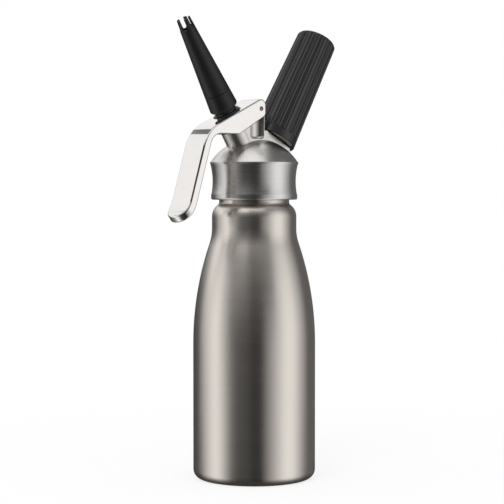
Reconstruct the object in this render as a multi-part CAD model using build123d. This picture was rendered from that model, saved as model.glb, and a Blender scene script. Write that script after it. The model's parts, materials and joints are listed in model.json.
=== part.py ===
from build123d import *

import os
from math import cos, hypot, radians, sin, sqrt, tan

# Cream whipper: a steel pressure bottle, a screw-on head with a sprung dispensing
# valve worked by a hand lever, and a holder for one small gas charger.
# Millimetres, +Z up. The origin is the centre of the bottle's base on the floor.
# The lever and the nozzle point to -X, the charger holder to +X.

# Driving dimensions: bottle
bottle_radius = 41.0
bottle_wall = 1.2
base_corner_radius = 6.3
straight_height = 91.1
shoulder_radius = 210.0
neck_blend_radius = 30.0
neck_radius = 28.3
neck_straight = 8.2
neck_top_round = 9.5
neck_fillet_radius = 2.5

# Driving dimensions: threaded neck ring and its gasket
mouth_radius = 23.5
neck_ring_wall = 3.0
neck_ring_sink = 4.0
neck_ring_rise = 15.7
neck_thread_pitch = 3.0
neck_thread_depth = 0.9
neck_thread_length = 13.5
gasket_thickness = 2.5

# Driving dimensions: collar ring and dome of the head
collar_gap = 1.6
mouth_cover = 1.5
collar_height = 25.3
collar_wall = 1.4
collar_top_flare = 1.65
collar_bottom_flare = 1.0
collar_top_lip = 1.7
collar_bottom_lip = 3.6
collar_lip_step = 0.25
collar_edge_round = 0.5
collar_foot_round = 1.2
skirt_wall = 1.8
skirt_recess = 1.4
dome_radius = 34.7
dome_setback = 0.45
chamber_radius = 19.0
chamber_height = 4.5
block_root = 2.0

# Driving dimensions: block on the dome
block_half_thickness = 8.8
block_edge_round = 0.6
valve_tilt = 30.7
valve_cross_drop = 7.8
charger_tilt = 29.9
charger_cross_drop = 12.9
charger_seat_station = 31.5
charger_seat_left = 13.3
charger_seat_right = 9.8
charger_seat_round = 1.6
block_top_reach = 7.0
scoop_radius = 6.8
scoop_depth = 3.6
scoop_offset = 2.2
scoop_floor_drop = 20.1
scoop_floor_round = 2.4

# Driving dimensions: lever and its pivot
pivot_x = -2.4
pivot_rise = 35.2
pin_radius = 1.7
bush_wall = 0.8
lug_radius = 3.8
lug_back_reach = 4.6
lug_gap = 0.4
lever_width = 21.2
lever_wall = 1.25
lever_top_slope = 25.6
lever_top_offset = 6.0
lever_end_reach = 4.2
lever_end_round = 3.6
lever_top_end_round = 4.0
lever_bend_distance = 46.6
lever_bend_radius = 24.0
lever_inner_bend_radius = 8.5
lever_swing = 9.0
web_pocket_depth = 2.2
cheek_lower_offset = 6.1
cheek_lower_slope = 29.8
cheek_drop = 17.2
cheek_corner_round = 5.0
grip_angle = 16.7
grip_length = 47.1
grip_depth = 5.5
grip_curl_radius = 20.0
grip_curl_turn = 36.0
grip_tip_flat = 0.4
grip_end_round = 10.0
lever_edge_round = 1.1

# Driving dimensions: dispensing valve, as stations along its axis
valve_seat_station = 12.5
valve_pocket_radius = 7.2
poppet_radius = 5.5
poppet_thickness = 2.0
valve_seal_thickness = 2.0
stem_radius = 4.0
stem_shaft_radius = 3.2
stem_bore_radius = 1.4
stem_port_radius = 1.1
seat_land = 1.0
valve_recess_length = 4.5
spring_pocket_length = 9.0
o_ring_radius = 0.7
o_ring_setback = 3.5
spring_wire_radius = 0.45
spring_coils = 5.5
spring_clearance = 0.4
spring_collar_radius = 7.0
spring_collar_thickness = 3.2
stroke_margin = 0.4

# Driving dimensions: nozzle and its adapter
flange_thickness = 2.3
adapter_neck_radius = 7.2
adapter_neck_length = 1.4
nozzle_seal_thickness = 1.2
nozzle_seal_radius = 7.2
spigot_radius = 5.2
spigot_length = 8.5
spigot_thread_pitch = 1.5
spigot_thread_depth = 0.5
nozzle_base_radius = 9.7
nozzle_tip_radius = 4.7
nozzle_length = 66.5
nozzle_collar_length = 12.0
nozzle_seam_width = 0.6
nozzle_seam_depth = 0.4
nozzle_edge_round = 1.8
nozzle_tip_bore = 3.2
nozzle_teeth = 5
nozzle_tooth_share = 0.42
nozzle_slot_depth = 7.2
nozzle_turn = 17.0

# Driving dimensions: charger holder, as stations along its axis
stud_neck_radius = 10.0
stud_neck_length = 2.5
stud_radius = 10.4
stud_length = 12.0
stud_thread_pitch = 1.5
stud_thread_depth = 0.5
spigot_socket_radius = 6.0
spigot_socket_depth = 11.5
stud_seal_radius = 0.9
stud_seal_setback = 3.0
gas_channel_radius = 1.5
stud_core_radius = 3.0
pin_flange_thickness = 1.6
pin_flange_setback = 1.5
piercing_pin_radius = 1.2
piercing_pin_bore = 0.45
piercing_depth = 2.4
pin_screw_length = 5.0
inlet_valve_length = 4.5
inlet_valve_floor = 1.1
charger_gasket_thickness = 1.5
charger_neck_radius = 4.5
charger_neck_length = 8.5
charger_neck_clearance = 0.4
charger_shoulder_length = 8.5
charger_body_radius = 9.2
charger_length = 65.5
charger_clearance = 0.35
charger_wall = 1.6
sleeve_foot_wall = 2.85
sleeve_tip_wall = 4.2
sleeve_end_wall = 7.35
sleeve_end_round = 3.2
sleeve_foot_round = 0.6
sleeve_flutes = 20
sleeve_flute_radius = 2.2
sleeve_flute_depth = 1.0
sleeve_foot_band = 7.0
insert_wall = 1.6

# Thread form and fits
thread_flat_share = 0.2
running_clearance = 0.05
thread_clearance = 0.3
seat_clearance = 0.3
rock_clearance = 0.15
cheek_clearance = 0.35
web_hole_clearance = 1.2
wall_tolerance = 1e-6

# Heights that follow from the driving dimensions
shoulder_centre = (bottle_radius - shoulder_radius, straight_height)
blend_centre_radius = neck_radius + neck_blend_radius
blend_reach = shoulder_radius + neck_blend_radius
blend_rise = sqrt(blend_reach**2 - (blend_centre_radius - shoulder_centre[0]) ** 2)
blend_centre = (blend_centre_radius, straight_height + blend_rise)
neck_round_centre = (neck_radius - neck_top_round, blend_centre[1] + neck_straight)
fillet_centre_radius = mouth_radius + neck_fillet_radius
fillet_reach = neck_top_round + neck_fillet_radius
fillet_rise = sqrt(fillet_reach**2 - (fillet_centre_radius - neck_round_centre[0]) ** 2)
neck_fillet_centre = (fillet_centre_radius, neck_round_centre[1] + fillet_rise)
collar_bottom = neck_fillet_centre[1] + collar_gap
collar_top = collar_bottom + collar_height
mouth_z = collar_bottom + mouth_cover
neck_ring_top = mouth_z + neck_ring_rise
gasket_top = neck_ring_top + gasket_thickness
skirt_inner_radius = mouth_radius + neck_thread_depth + thread_clearance
skirt_outer_radius = skirt_inner_radius + skirt_wall
collar_waist_radius = skirt_outer_radius + collar_wall
collar_top_radius = collar_waist_radius + collar_top_flare
collar_bottom_radius = collar_waist_radius + collar_bottom_flare
dome_foot_radius = collar_top_radius - dome_setback
dome_centre_z = collar_top - sqrt(dome_radius**2 - dome_foot_radius**2)
chamber_top = gasket_top + chamber_height
pivot_z = collar_top + pivot_rise
cheek_inner = lever_width / 2 - lever_wall
lug_half = cheek_inner - lug_gap
boss_radius = cheek_inner - cheek_clearance
flange_radius = cheek_inner - cheek_clearance

# Frames: z along the valve axis, and z along the charger axis, both in the XZ plane
valve_dir = Vector(-sin(radians(valve_tilt)), 0, cos(radians(valve_tilt)))
valve_frame = Plane(origin=(0, 0, collar_top - valve_cross_drop), x_dir=(0, 1, 0), z_dir=valve_dir)
charger_dir = Vector(sin(radians(charger_tilt)), 0, cos(radians(charger_tilt)))
charger_frame = Plane(origin=(0, 0, collar_top - charger_cross_drop), x_dir=(0, 1, 0), z_dir=charger_dir)


def axis_point(frame, station, side=0.0):
    """Return (x, z) at a station along a tilted axis, moved sideways towards +X by side."""
    direction = frame.z_dir
    return (
        frame.origin.X + direction.X * station + direction.Z * side,
        frame.origin.Z + direction.Z * station - direction.X * side,
    )


# Lever lines: directions along the top face towards the bend, along the grip and along its curled end
top_dir = (-cos(radians(lever_top_slope)), -sin(radians(lever_top_slope)))
top_normal = (top_dir[1], -top_dir[0])
grip_dir = (-sin(radians(grip_angle)), -cos(radians(grip_angle)))
grip_normal = (grip_dir[1], -grip_dir[0])
curl_angle = grip_angle + grip_curl_turn
curl_dir = (-sin(radians(curl_angle)), -cos(radians(curl_angle)))
curl_normal = (curl_dir[1], -curl_dir[0])
curl_reach = grip_curl_radius * tan(radians(grip_curl_turn / 2))
lower_dir = (cos(radians(cheek_lower_slope)), sin(radians(cheek_lower_slope)))


def lever_point(along, above):
    """Return (x, z) from the pivot, along the top face and square to it."""
    return (
        pivot_x + top_dir[0] * along + top_normal[0] * above,
        pivot_z + top_dir[1] * along + top_normal[1] * above,
    )


def moved_on(point, direction, distance):
    """Return an (x, z) point moved along a direction."""
    return (point[0] + direction[0] * distance, point[1] + direction[1] * distance)


def crossing(point, direction, other, other_direction):
    """Return where two lines in the XZ plane cross."""
    det = direction[0] * -other_direction[1] + direction[1] * other_direction[0]
    dx = other[0] - point[0]
    dz = other[1] - point[1]
    share = (-dx * other_direction[1] + dz * other_direction[0]) / det
    return (point[0] + share * direction[0], point[1] + share * direction[1])


def seen_when_squeezed(point):
    """Return where an (x, z) point of the head lies in the lever's own frame at full squeeze."""
    turn = radians(lever_swing)
    dx = point[0] - pivot_x
    dz = point[1] - pivot_z
    return (
        pivot_x + dx * cos(turn) + dz * sin(turn),
        pivot_z - dx * sin(turn) + dz * cos(turn),
    )


# Stations on the valve axis that follow from the lever
valve_origin = axis_point(valve_frame, 0.0)
valve_line = (valve_dir.X, valve_dir.Z)
web_top_point = crossing(lever_point(0.0, lever_top_offset), top_dir, valve_origin, valve_line)
pocket_floor_offset = lever_top_offset - web_pocket_depth
pocket_low_offset = pocket_floor_offset - lever_wall
floor_point = crossing(lever_point(0.0, pocket_floor_offset), top_dir, valve_origin, valve_line)
low_point = crossing(lever_point(0.0, pocket_low_offset), top_dir, valve_origin, valve_line)
web_top_station = hypot(web_top_point[0] - valve_origin[0], web_top_point[1] - valve_origin[1])
pocket_floor_station = hypot(floor_point[0] - valve_origin[0], floor_point[1] - valve_origin[1])
pocket_low_station = hypot(low_point[0] - valve_origin[0], low_point[1] - valve_origin[1])
pivot_arm = (pivot_x - valve_origin[0]) * valve_dir.Z - (pivot_z - valve_origin[1]) * valve_dir.X
rise_at_rest = tan(radians(valve_tilt - lever_top_slope))
rise_at_end = tan(radians(lever_top_slope + lever_swing - valve_tilt))
valve_stroke = pivot_arm * (rise_at_end + rise_at_rest)
rock_slope = max(abs(rise_at_rest), abs(rise_at_end))
recess_top_station = valve_seat_station + valve_recess_length
spring_collar_high = pocket_low_station - rock_slope * spring_collar_radius - rock_clearance
spring_collar_low = spring_collar_high - spring_collar_thickness
boss_top_station = spring_collar_low - valve_stroke - stroke_margin
guide_top_station = boss_top_station - spring_pocket_length
flange_low = pocket_floor_station + rock_slope * flange_radius + rock_clearance
flange_high = flange_low + flange_thickness
adapter_neck_high = flange_high + adapter_neck_length
nozzle_low = adapter_neck_high + nozzle_seal_thickness
nozzle_high = nozzle_low + nozzle_length
spigot_high = nozzle_low + spigot_length
nozzle_socket_radius = spigot_radius + spigot_thread_depth + thread_clearance
stem_hole_radius = stem_shaft_radius + web_hole_clearance + valve_stroke * rock_slope

# How far the flange drifts along the web towards the pivot while the lever is squeezed
squeezed_origin = seen_when_squeezed(valve_origin)
squeezed_end = seen_when_squeezed(axis_point(valve_frame, web_top_station))
squeezed_line = (squeezed_end[0] - squeezed_origin[0], squeezed_end[1] - squeezed_origin[1])
squeezed_point = crossing(lever_point(0.0, lever_top_offset), top_dir, squeezed_origin, squeezed_line)
pocket_drift = hypot(squeezed_point[0] - web_top_point[0], squeezed_point[1] - web_top_point[1])

# Stations on the charger axis
stud_neck_top = charger_seat_station + stud_neck_length
stud_top = stud_neck_top + stud_length
socket_floor = charger_seat_station - spigot_socket_depth
pin_flange_top = charger_seat_station + pin_flange_setback
gasket_floor = stud_top - charger_neck_length
charger_low = gasket_floor + charger_gasket_thickness
charger_high = charger_low + charger_length
sleeve_low = charger_seat_station + seat_clearance
sleeve_high = charger_high + charger_clearance + sleeve_end_wall
sleeve_length = sleeve_high - sleeve_low
stud_outer_radius = stud_radius + stud_thread_depth
insert_inner_radius = stud_outer_radius + thread_clearance
insert_outer_radius = insert_inner_radius + insert_wall
sleeve_bore_radius = charger_body_radius + charger_clearance
sleeve_foot_radius = insert_outer_radius + sleeve_foot_wall
sleeve_tip_radius = sleeve_bore_radius + sleeve_tip_wall


def turned(points, frame=Plane.XY):
    """Revolve a closed outline of (radius, height) points about a frame's z axis."""
    outline = make_face(Polyline(*points, close=True))
    return frame.location * revolve(Plane.XZ * outline, Axis.Z)


def rod(radius, low, high, frame=Plane.XY):
    """Return a plain cylinder between two heights on a frame's z axis."""
    blank = Cylinder(radius, high - low, align=(Align.CENTER, Align.CENTER, Align.MIN))
    return frame.location * Pos(0, 0, low) * blank


def tube(inner, outer, low, high, frame=Plane.XY):
    """Return a plain ring or tube between two heights on a frame's z axis."""
    return rod(outer, low, high, frame) - rod(inner, low, high, frame)


def thread_outline(root, depth, pitch, low, high):
    """Return the (radius, height) points of thread ridges between two heights."""
    points = []
    half_flat = thread_flat_share * pitch / 2
    for turn in range(int((high - low) / pitch)):
        foot = low + turn * pitch
        crest = foot + pitch / 2
        points.append((root, foot + half_flat))
        points.append((root + depth, crest - half_flat))
        points.append((root + depth, crest + half_flat))
        points.append((root, foot + pitch - half_flat))
    return points


def plate(face, half_thickness):
    """Extrude a face of the XZ plane equally to both sides."""
    return extrude(face, amount=half_thickness, both=True)


def rounded_plate(face, half_thickness, radius):
    """Extrude a face of the XZ plane to both sides and round the edges of its two flat sides."""
    blank = plate(face, half_thickness)
    sides = blank.faces().sort_by(Axis.Y)
    return fillet([*sides[0].edges(), *sides[-1].edges()], radius)


def cross_rod(x, z, radius, half_length):
    """Return a cylinder along Y, centred on the XZ plane."""
    blank = Cylinder(radius, 2 * half_length, rotation=(90, 0, 0))
    return Pos(x, 0, z) * blank


def degrees_of(rise, run):
    """Return the angle of a slope in degrees."""
    return Vector(run, rise, 0).get_signed_angle(Vector(1, 0, 0), Vector(0, 0, -1))


def bottle_edges(inset):
    """Return the bottle's outline from the axis up to the mouth, moved inwards by inset."""
    corner = (bottle_radius - base_corner_radius, base_corner_radius)
    wall_x = bottle_radius - inset
    neck_x = neck_radius - inset
    rim_x = mouth_radius - inset
    lean = degrees_of(blend_rise, blend_centre[0] - shoulder_centre[0])
    fillet_lean = degrees_of(fillet_rise, neck_fillet_centre[0] - neck_round_centre[0])
    return [
        Line((0, inset), (corner[0], inset)),
        CenterArc(corner, base_corner_radius - inset, -90, 90),
        Line((wall_x, corner[1]), (wall_x, straight_height)),
        CenterArc(shoulder_centre, shoulder_radius - inset, 0, lean),
        CenterArc(blend_centre, neck_blend_radius + inset, 180 + lean, -lean),
        Line((neck_x, blend_centre[1]), (neck_x, neck_round_centre[1])),
        CenterArc(neck_round_centre, neck_top_round - inset, 0, fillet_lean),
        CenterArc(neck_fillet_centre, neck_fillet_radius + inset, 180 + fillet_lean, -fillet_lean),
        Line((rim_x, neck_fillet_centre[1]), (rim_x, mouth_z)),
    ]


def make_bottle():
    """Deep-drawn bottle shell, open at the mouth."""
    outer = bottle_edges(0.0)
    inner = bottle_edges(bottle_wall)
    lip = Line(outer[-1] @ 1, inner[-1] @ 1)
    axis = Line(outer[0] @ 0, inner[0] @ 0)
    outline = make_face([*outer, lip, *inner, axis])
    return revolve(Plane.XZ * outline, Axis.Z)


def make_neck_ring():
    """Turned ring welded into the mouth, with the thread that the head screws onto."""
    bore = mouth_radius - neck_ring_wall
    low = mouth_z - neck_ring_sink
    sunk_radius = mouth_radius - bottle_wall
    thread_low = neck_ring_top - neck_thread_length
    ridges = thread_outline(mouth_radius, neck_thread_depth, neck_thread_pitch, thread_low, neck_ring_top)
    foot = [(bore, low), (sunk_radius, low), (sunk_radius, mouth_z), (mouth_radius, mouth_z)]
    top = [(mouth_radius, neck_ring_top), (bore, neck_ring_top)]
    return turned([*foot, *ridges, *top])


def make_head_gasket():
    """Flat silicone ring between the neck ring and the head."""
    outer = skirt_inner_radius - seat_clearance
    return tube(mouth_radius - neck_ring_wall, outer, neck_ring_top, gasket_top)


def make_collar_ring():
    """Waisted ring around the skirt of the head, with a stepped lip at each end."""
    low_step = collar_bottom + collar_bottom_lip
    high_step = collar_top - collar_top_lip
    waist = (collar_waist_radius, (low_step + high_step) / 2)
    low_edge = (collar_bottom_radius - collar_lip_step, low_step)
    high_edge = (collar_top_radius - collar_lip_step, high_step)
    low_rim = FilletPolyline(
        (skirt_outer_radius, collar_bottom),
        (collar_bottom_radius, collar_bottom),
        (collar_bottom_radius, low_step),
        low_edge,
        radius=[collar_foot_round, 0],
    )
    high_rim = FilletPolyline(
        high_edge,
        (collar_top_radius, high_step),
        (collar_top_radius, collar_top),
        (skirt_outer_radius, collar_top),
        radius=[0, collar_edge_round],
    )
    side = ThreePointArc(low_edge, waist, high_edge)
    bore = Line(high_rim @ 1, low_rim @ 0)
    outline = make_face([*low_rim.edges(), side, *high_rim.edges(), bore])
    return revolve(Plane.XZ * outline, Axis.Z)


def make_head_casting():
    """Cast head: dome, threaded skirt, valve boss, pivot lug and charger seat."""
    foot = degrees_of(collar_top - dome_centre_z, dome_foot_radius)
    dome_edges = [
        Line((0, collar_top), (dome_foot_radius, collar_top)),
        CenterArc((0, dome_centre_z), dome_radius, foot, 90 - foot),
        Line((0, dome_centre_z + dome_radius), (0, collar_top)),
    ]
    dome = revolve(Plane.XZ * make_face(dome_edges), Axis.Z)
    skirt = rod(skirt_outer_radius, collar_bottom + skirt_recess, collar_top)
    boss = rod(boss_radius, valve_seat_station, boss_top_station, valve_frame)
    lug_back = pivot_x + lug_back_reach
    seat_left = axis_point(charger_frame, charger_seat_station, -charger_seat_left)
    seat_right = axis_point(charger_frame, charger_seat_station, charger_seat_right)
    boss_end = axis_point(valve_frame, boss_top_station)
    boss_side = axis_point(valve_frame, boss_top_station, block_top_reach)
    block_line = FilletPolyline(
        (seat_right[0], chamber_top + block_root),
        seat_right,
        seat_left,
        radius=charger_seat_round,
    )
    block_rest = Polyline(
        seat_left,
        (lug_back, seat_left[1]),
        (lug_back, pivot_z - lug_radius),
        (pivot_x + lug_radius, pivot_z),
        (pivot_x - lug_radius, pivot_z),
        boss_side,
        boss_end,
        axis_point(valve_frame, valve_seat_station),
        (0, chamber_top + block_root),
        (seat_right[0], chamber_top + block_root),
    )
    block_face = Plane.XZ * make_face([*block_line.edges(), *block_rest.edges()])
    block = rounded_plate(block_face, block_half_thickness, block_edge_round)
    lug = cross_rod(pivot_x, pivot_z, lug_radius, lug_half)
    head = dome + skirt + boss + block + lug

    scoop_low = pivot_z - scoop_floor_drop
    scoop_blank = rod(scoop_radius, scoop_low, pivot_z - lug_radius - lug_gap)
    scoop_blank = fillet(scoop_blank.edges().group_by(Axis.Z)[0], scoop_floor_round)
    scoop_y = block_half_thickness + scoop_radius - scoop_depth
    for side in (-1, 1):
        head -= Pos(pivot_x - scoop_offset, side * scoop_y, 0) * scoop_blank

    head -= rod(skirt_inner_radius, collar_bottom, gasket_top)
    head -= rod(chamber_radius, gasket_top, chamber_top)
    head -= rod(valve_pocket_radius, 0, valve_seat_station, valve_frame)
    head -= rod(stem_radius + running_clearance, valve_seat_station, boss_top_station, valve_frame)
    head -= rod(poppet_radius - seat_land, valve_seat_station, recess_top_station, valve_frame)
    spring_pocket_radius = stem_shaft_radius + 2 * spring_wire_radius + 2 * spring_clearance
    head -= rod(spring_pocket_radius, guide_top_station, boss_top_station, valve_frame)
    channel_low = (gasket_top - charger_frame.origin.Z) / charger_dir.Z
    head -= rod(gas_channel_radius, channel_low, charger_seat_station, charger_frame)
    head -= rod(spigot_socket_radius, socket_floor, charger_seat_station, charger_frame)
    head -= cross_rod(pivot_x, pivot_z, pin_radius + running_clearance + bush_wall, lever_width)
    return head


def make_pivot_bush():
    """Plain bearing bush pressed through the pivot lug."""
    bore = pin_radius + running_clearance
    blank = cross_rod(pivot_x, pivot_z, bore + bush_wall, lug_half)
    return blank - cross_rod(pivot_x, pivot_z, bore, lug_half)


def grip_corners(tip, half_width, round_radius):
    """Return the two corner pieces that round the curled end of the grip off."""
    frame = Plane(
        origin=(tip[0], 0, tip[1]),
        x_dir=(0, 1, 0),
        z_dir=(curl_normal[0], 0, curl_normal[1]),
    )
    end = Pos(0, -round_radius / 2) * Rectangle(2 * half_width, round_radius)
    inner = half_width - round_radius
    for side in (-1, 1):
        end -= Pos(side * inner, -round_radius) * Circle(round_radius)
    end -= Pos(0, -round_radius / 2) * Rectangle(2 * inner, round_radius)
    return extrude(frame.location * end, amount=2 * grip_depth, both=True)


def lever_rims(body):
    """Return the edges between the lever's outer and inner faces and the walls around them."""
    depth = Vector(curl_normal[0], 0, curl_normal[1])
    walls = [face for face in body.faces() if abs(face.normal_at().dot(depth)) < wall_tolerance]
    edges = [edge for wall in walls for edge in wall.edges()]
    return [edge for edge in edges if sum(edge.is_same(other) for other in edges) == 1]


def pocket_blank(radius, low, high):
    """Return a round-ended bar, long enough for the flange's drift in the lever's web."""
    far_end = Pos(pocket_drift, 0, 0) * rod(radius, low, high)
    middle = Pos(pocket_drift / 2, 0, (low + high) / 2) * Box(pocket_drift, 2 * radius, high - low)
    return rod(radius, low, high) + middle + far_end


def make_lever():
    """Pressed channel lever: flat top web, two cheeks and a hollow-backed grip with a curled end."""
    bend = lever_point(lever_bend_distance, lever_top_offset)
    end_x = pivot_x + lever_end_reach
    top_end = crossing(lever_point(0.0, lever_top_offset), top_dir, (end_x, pivot_z), (0.0, 1.0))
    lower_foot = (
        pivot_x + cheek_lower_offset * lower_dir[1],
        pivot_z - cheek_lower_offset * lower_dir[0],
    )
    low_end = crossing(lower_foot, lower_dir, (end_x, pivot_z), (0.0, 1.0))
    cheek_z = pivot_z - cheek_drop
    low_corner = crossing(lower_foot, lower_dir, (0.0, cheek_z), (1.0, 0.0))
    inner_start = moved_on(bend, grip_normal, -grip_depth)
    inner_corner = crossing(inner_start, grip_dir, (0.0, cheek_z), (1.0, 0.0))
    curl = moved_on(bend, grip_dir, grip_length + curl_reach)
    tip_outer = moved_on(curl, curl_dir, curl_reach + lever_wall + grip_tip_flat)
    tip_inner = moved_on(tip_outer, curl_normal, -grip_depth)
    inner_curl = crossing(inner_start, grip_dir, tip_inner, curl_dir)
    outline = FilletPolyline(
        top_end,
        bend,
        curl,
        tip_outer,
        tip_inner,
        inner_curl,
        inner_corner,
        low_corner,
        low_end,
        radius=[
            lever_top_end_round,
            lever_bend_radius,
            grip_curl_radius,
            0,
            0,
            grip_curl_radius + grip_depth,
            lever_inner_bend_radius,
            cheek_corner_round,
            lever_end_round,
        ],
        close=True,
    )
    body = plate(Plane.XZ * make_face(outline), lever_width / 2)
    body -= grip_corners(tip_outer, lever_width / 2, grip_end_round)
    body = fillet(lever_rims(body), lever_edge_round)

    hollow_start = lever_point(-lever_width, lever_top_offset - lever_wall)
    hollow_side = moved_on(bend, grip_normal, -lever_wall)
    hollow_bend = crossing(hollow_start, top_dir, hollow_side, grip_dir)
    hollow_end = moved_on(tip_outer, curl_dir, -lever_wall)
    hollow_tip = moved_on(hollow_end, curl_normal, -lever_wall)
    hollow_curl = crossing(hollow_side, grip_dir, hollow_tip, curl_dir)
    hollow_line = FilletPolyline(
        hollow_start,
        hollow_bend,
        hollow_curl,
        hollow_tip,
        moved_on(hollow_tip, curl_normal, -grip_length),
        radius=[lever_bend_radius - lever_wall, grip_curl_radius + lever_wall, 0],
    )
    closing = Line(hollow_line @ 1, hollow_line @ 0)
    hollow = plate(Plane.XZ * make_face([*hollow_line.edges(), closing]), cheek_inner)
    hollow -= grip_corners(hollow_end, cheek_inner, grip_end_round - lever_wall)
    pocket_frame = Plane(
        origin=(web_top_point[0], 0, web_top_point[1]),
        x_dir=(-top_dir[0], 0, -top_dir[1]),
        z_dir=(top_normal[0], 0, top_normal[1]),
    )
    cup = pocket_frame.location * pocket_blank(lever_width / 2, -web_pocket_depth - lever_wall, 0)
    body = body - hollow + (cup & body)
    body -= pocket_frame.location * pocket_blank(cheek_inner, -web_pocket_depth, lever_wall)
    body -= rod(stem_hole_radius, pocket_low_station - lever_wall, web_top_station, valve_frame)
    body -= cross_rod(pivot_x, pivot_z, pin_radius, lever_width)
    return body


def make_lever_pin():
    """Pivot pin, flush with the outsides of the two cheeks."""
    return cross_rod(pivot_x, pivot_z, pin_radius, lever_width / 2)


def make_valve_stem():
    """Hollow valve stem with its poppet at the bottom and ports into its bore."""
    poppet_high = valve_seat_station - valve_seal_thickness
    poppet_low = poppet_high - poppet_thickness
    port_station = valve_seat_station + valve_recess_length / 2
    groove_mid = guide_top_station - o_ring_setback
    groove_low = groove_mid - o_ring_radius
    groove_high = groove_mid + o_ring_radius
    groove_radius = stem_radius - 2 * o_ring_radius
    stem = turned(
        [
            (0, poppet_low),
            (poppet_radius, poppet_low),
            (poppet_radius, poppet_high),
            (stem_shaft_radius, poppet_high),
            (stem_shaft_radius, recess_top_station),
            (stem_radius, recess_top_station),
            (stem_radius, groove_low),
            (groove_radius, groove_low),
            (groove_radius, groove_high),
            (stem_radius, groove_high),
            (stem_radius, guide_top_station - stroke_margin),
            (stem_shaft_radius, guide_top_station - stroke_margin),
            (stem_shaft_radius, spigot_high - nozzle_seal_thickness),
            (0, spigot_high - nozzle_seal_thickness),
        ],
        valve_frame,
    )
    stem -= rod(stem_bore_radius, poppet_high, spigot_high, valve_frame)
    port = Cylinder(stem_port_radius, 4 * stem_radius, rotation=(90, 0, 0))
    stem -= valve_frame.location * Pos(0, 0, port_station) * port
    return stem


def make_valve_seal():
    """Rubber washer on the poppet that closes against the seat."""
    low = valve_seat_station - valve_seal_thickness
    return tube(stem_shaft_radius + running_clearance, poppet_radius, low, valve_seat_station, valve_frame)


def make_stem_o_ring():
    """O-ring in the stem's groove."""
    ring = Torus(stem_radius - o_ring_radius, o_ring_radius)
    return valve_frame.location * Pos(0, 0, guide_top_station - o_ring_setback) * ring


def make_valve_spring():
    """Round-wire compression spring between the boss and the spring collar."""
    radius = stem_shaft_radius + spring_clearance + spring_wire_radius
    low = guide_top_station + spring_wire_radius
    high = spring_collar_low - spring_wire_radius
    path = Helix((high - low) / spring_coils, high - low, radius, center=(0, 0, low))
    start = Plane(origin=path @ 0, z_dir=path % 0)
    wire = sweep(start * Circle(spring_wire_radius), path=path, is_frenet=True)
    return valve_frame.location * wire


def make_spring_collar():
    """Nut on the stem that carries the spring and takes the push of the lever."""
    bore = stem_shaft_radius + running_clearance
    return tube(bore, spring_collar_radius, spring_collar_low, spring_collar_high, valve_frame)


def make_nozzle_adapter():
    """Flanged adapter on top of the stem with the thread for the nozzle."""
    inner = stem_shaft_radius + running_clearance
    pitch = spigot_thread_pitch
    ridges = thread_outline(spigot_radius, spigot_thread_depth, pitch, nozzle_low, spigot_high)
    return turned(
        [
            (inner, flange_low),
            (flange_radius, flange_low),
            (flange_radius, flange_high),
            (adapter_neck_radius, flange_high),
            (adapter_neck_radius, adapter_neck_high),
            (spigot_radius, adapter_neck_high),
            *ridges,
            (spigot_radius, spigot_high),
            (inner, spigot_high),
        ],
        valve_frame,
    )


def make_nozzle_seal():
    """Flat rubber ring under the nozzle."""
    return tube(nozzle_socket_radius, nozzle_seal_radius, adapter_neck_high, nozzle_low, valve_frame)


def make_decorating_nozzle():
    """Tapered plastic nozzle with a threaded socket and a toothed tip."""
    socket_high = spigot_high + nozzle_seal_thickness
    collar_high = nozzle_low + nozzle_collar_length
    taper = (nozzle_base_radius - nozzle_tip_radius) / nozzle_length
    seam_radius = nozzle_base_radius - taper * nozzle_collar_length
    seam_half = nozzle_seam_width / 2
    outline = Polyline(
        (nozzle_socket_radius, nozzle_low),
        (nozzle_base_radius, nozzle_low),
        (seam_radius + taper * seam_half, collar_high - seam_half),
        (seam_radius - nozzle_seam_depth, collar_high),
        (seam_radius - taper * seam_half, collar_high + seam_half),
        (nozzle_tip_radius, nozzle_high),
        (nozzle_tip_bore, nozzle_high),
        (spigot_radius, socket_high + nozzle_seam_width),
        (nozzle_socket_radius, socket_high),
        close=True,
    )
    face = make_face(outline)
    foot = face.vertices().sort_by(Axis.X)[-1]
    blank = revolve(Plane.XZ * fillet(foot, nozzle_edge_round), Axis.Z)
    tooth_step = 360 / nozzle_teeth
    slot_angle = tooth_step * (1 - nozzle_tooth_share)
    slot_width = 2 * nozzle_tip_radius * sin(radians(slot_angle / 2))
    slot_floor = nozzle_high - nozzle_slot_depth + slot_width / 2
    slot_reach = 2 * nozzle_tip_radius
    slot_tool = Cylinder(slot_width / 2, slot_reach, rotation=(0, 90, 0))
    slot_tool += Pos(0, 0, nozzle_slot_depth / 2) * Box(slot_reach, slot_width, nozzle_slot_depth)
    slot_tool = Pos(slot_reach / 2, 0, slot_floor) * slot_tool
    first_slot = nozzle_turn + tooth_step / 2
    for tooth in range(nozzle_teeth):
        blank -= Rot(0, 0, first_slot + tooth * tooth_step) * slot_tool
    return valve_frame.location * blank


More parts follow.
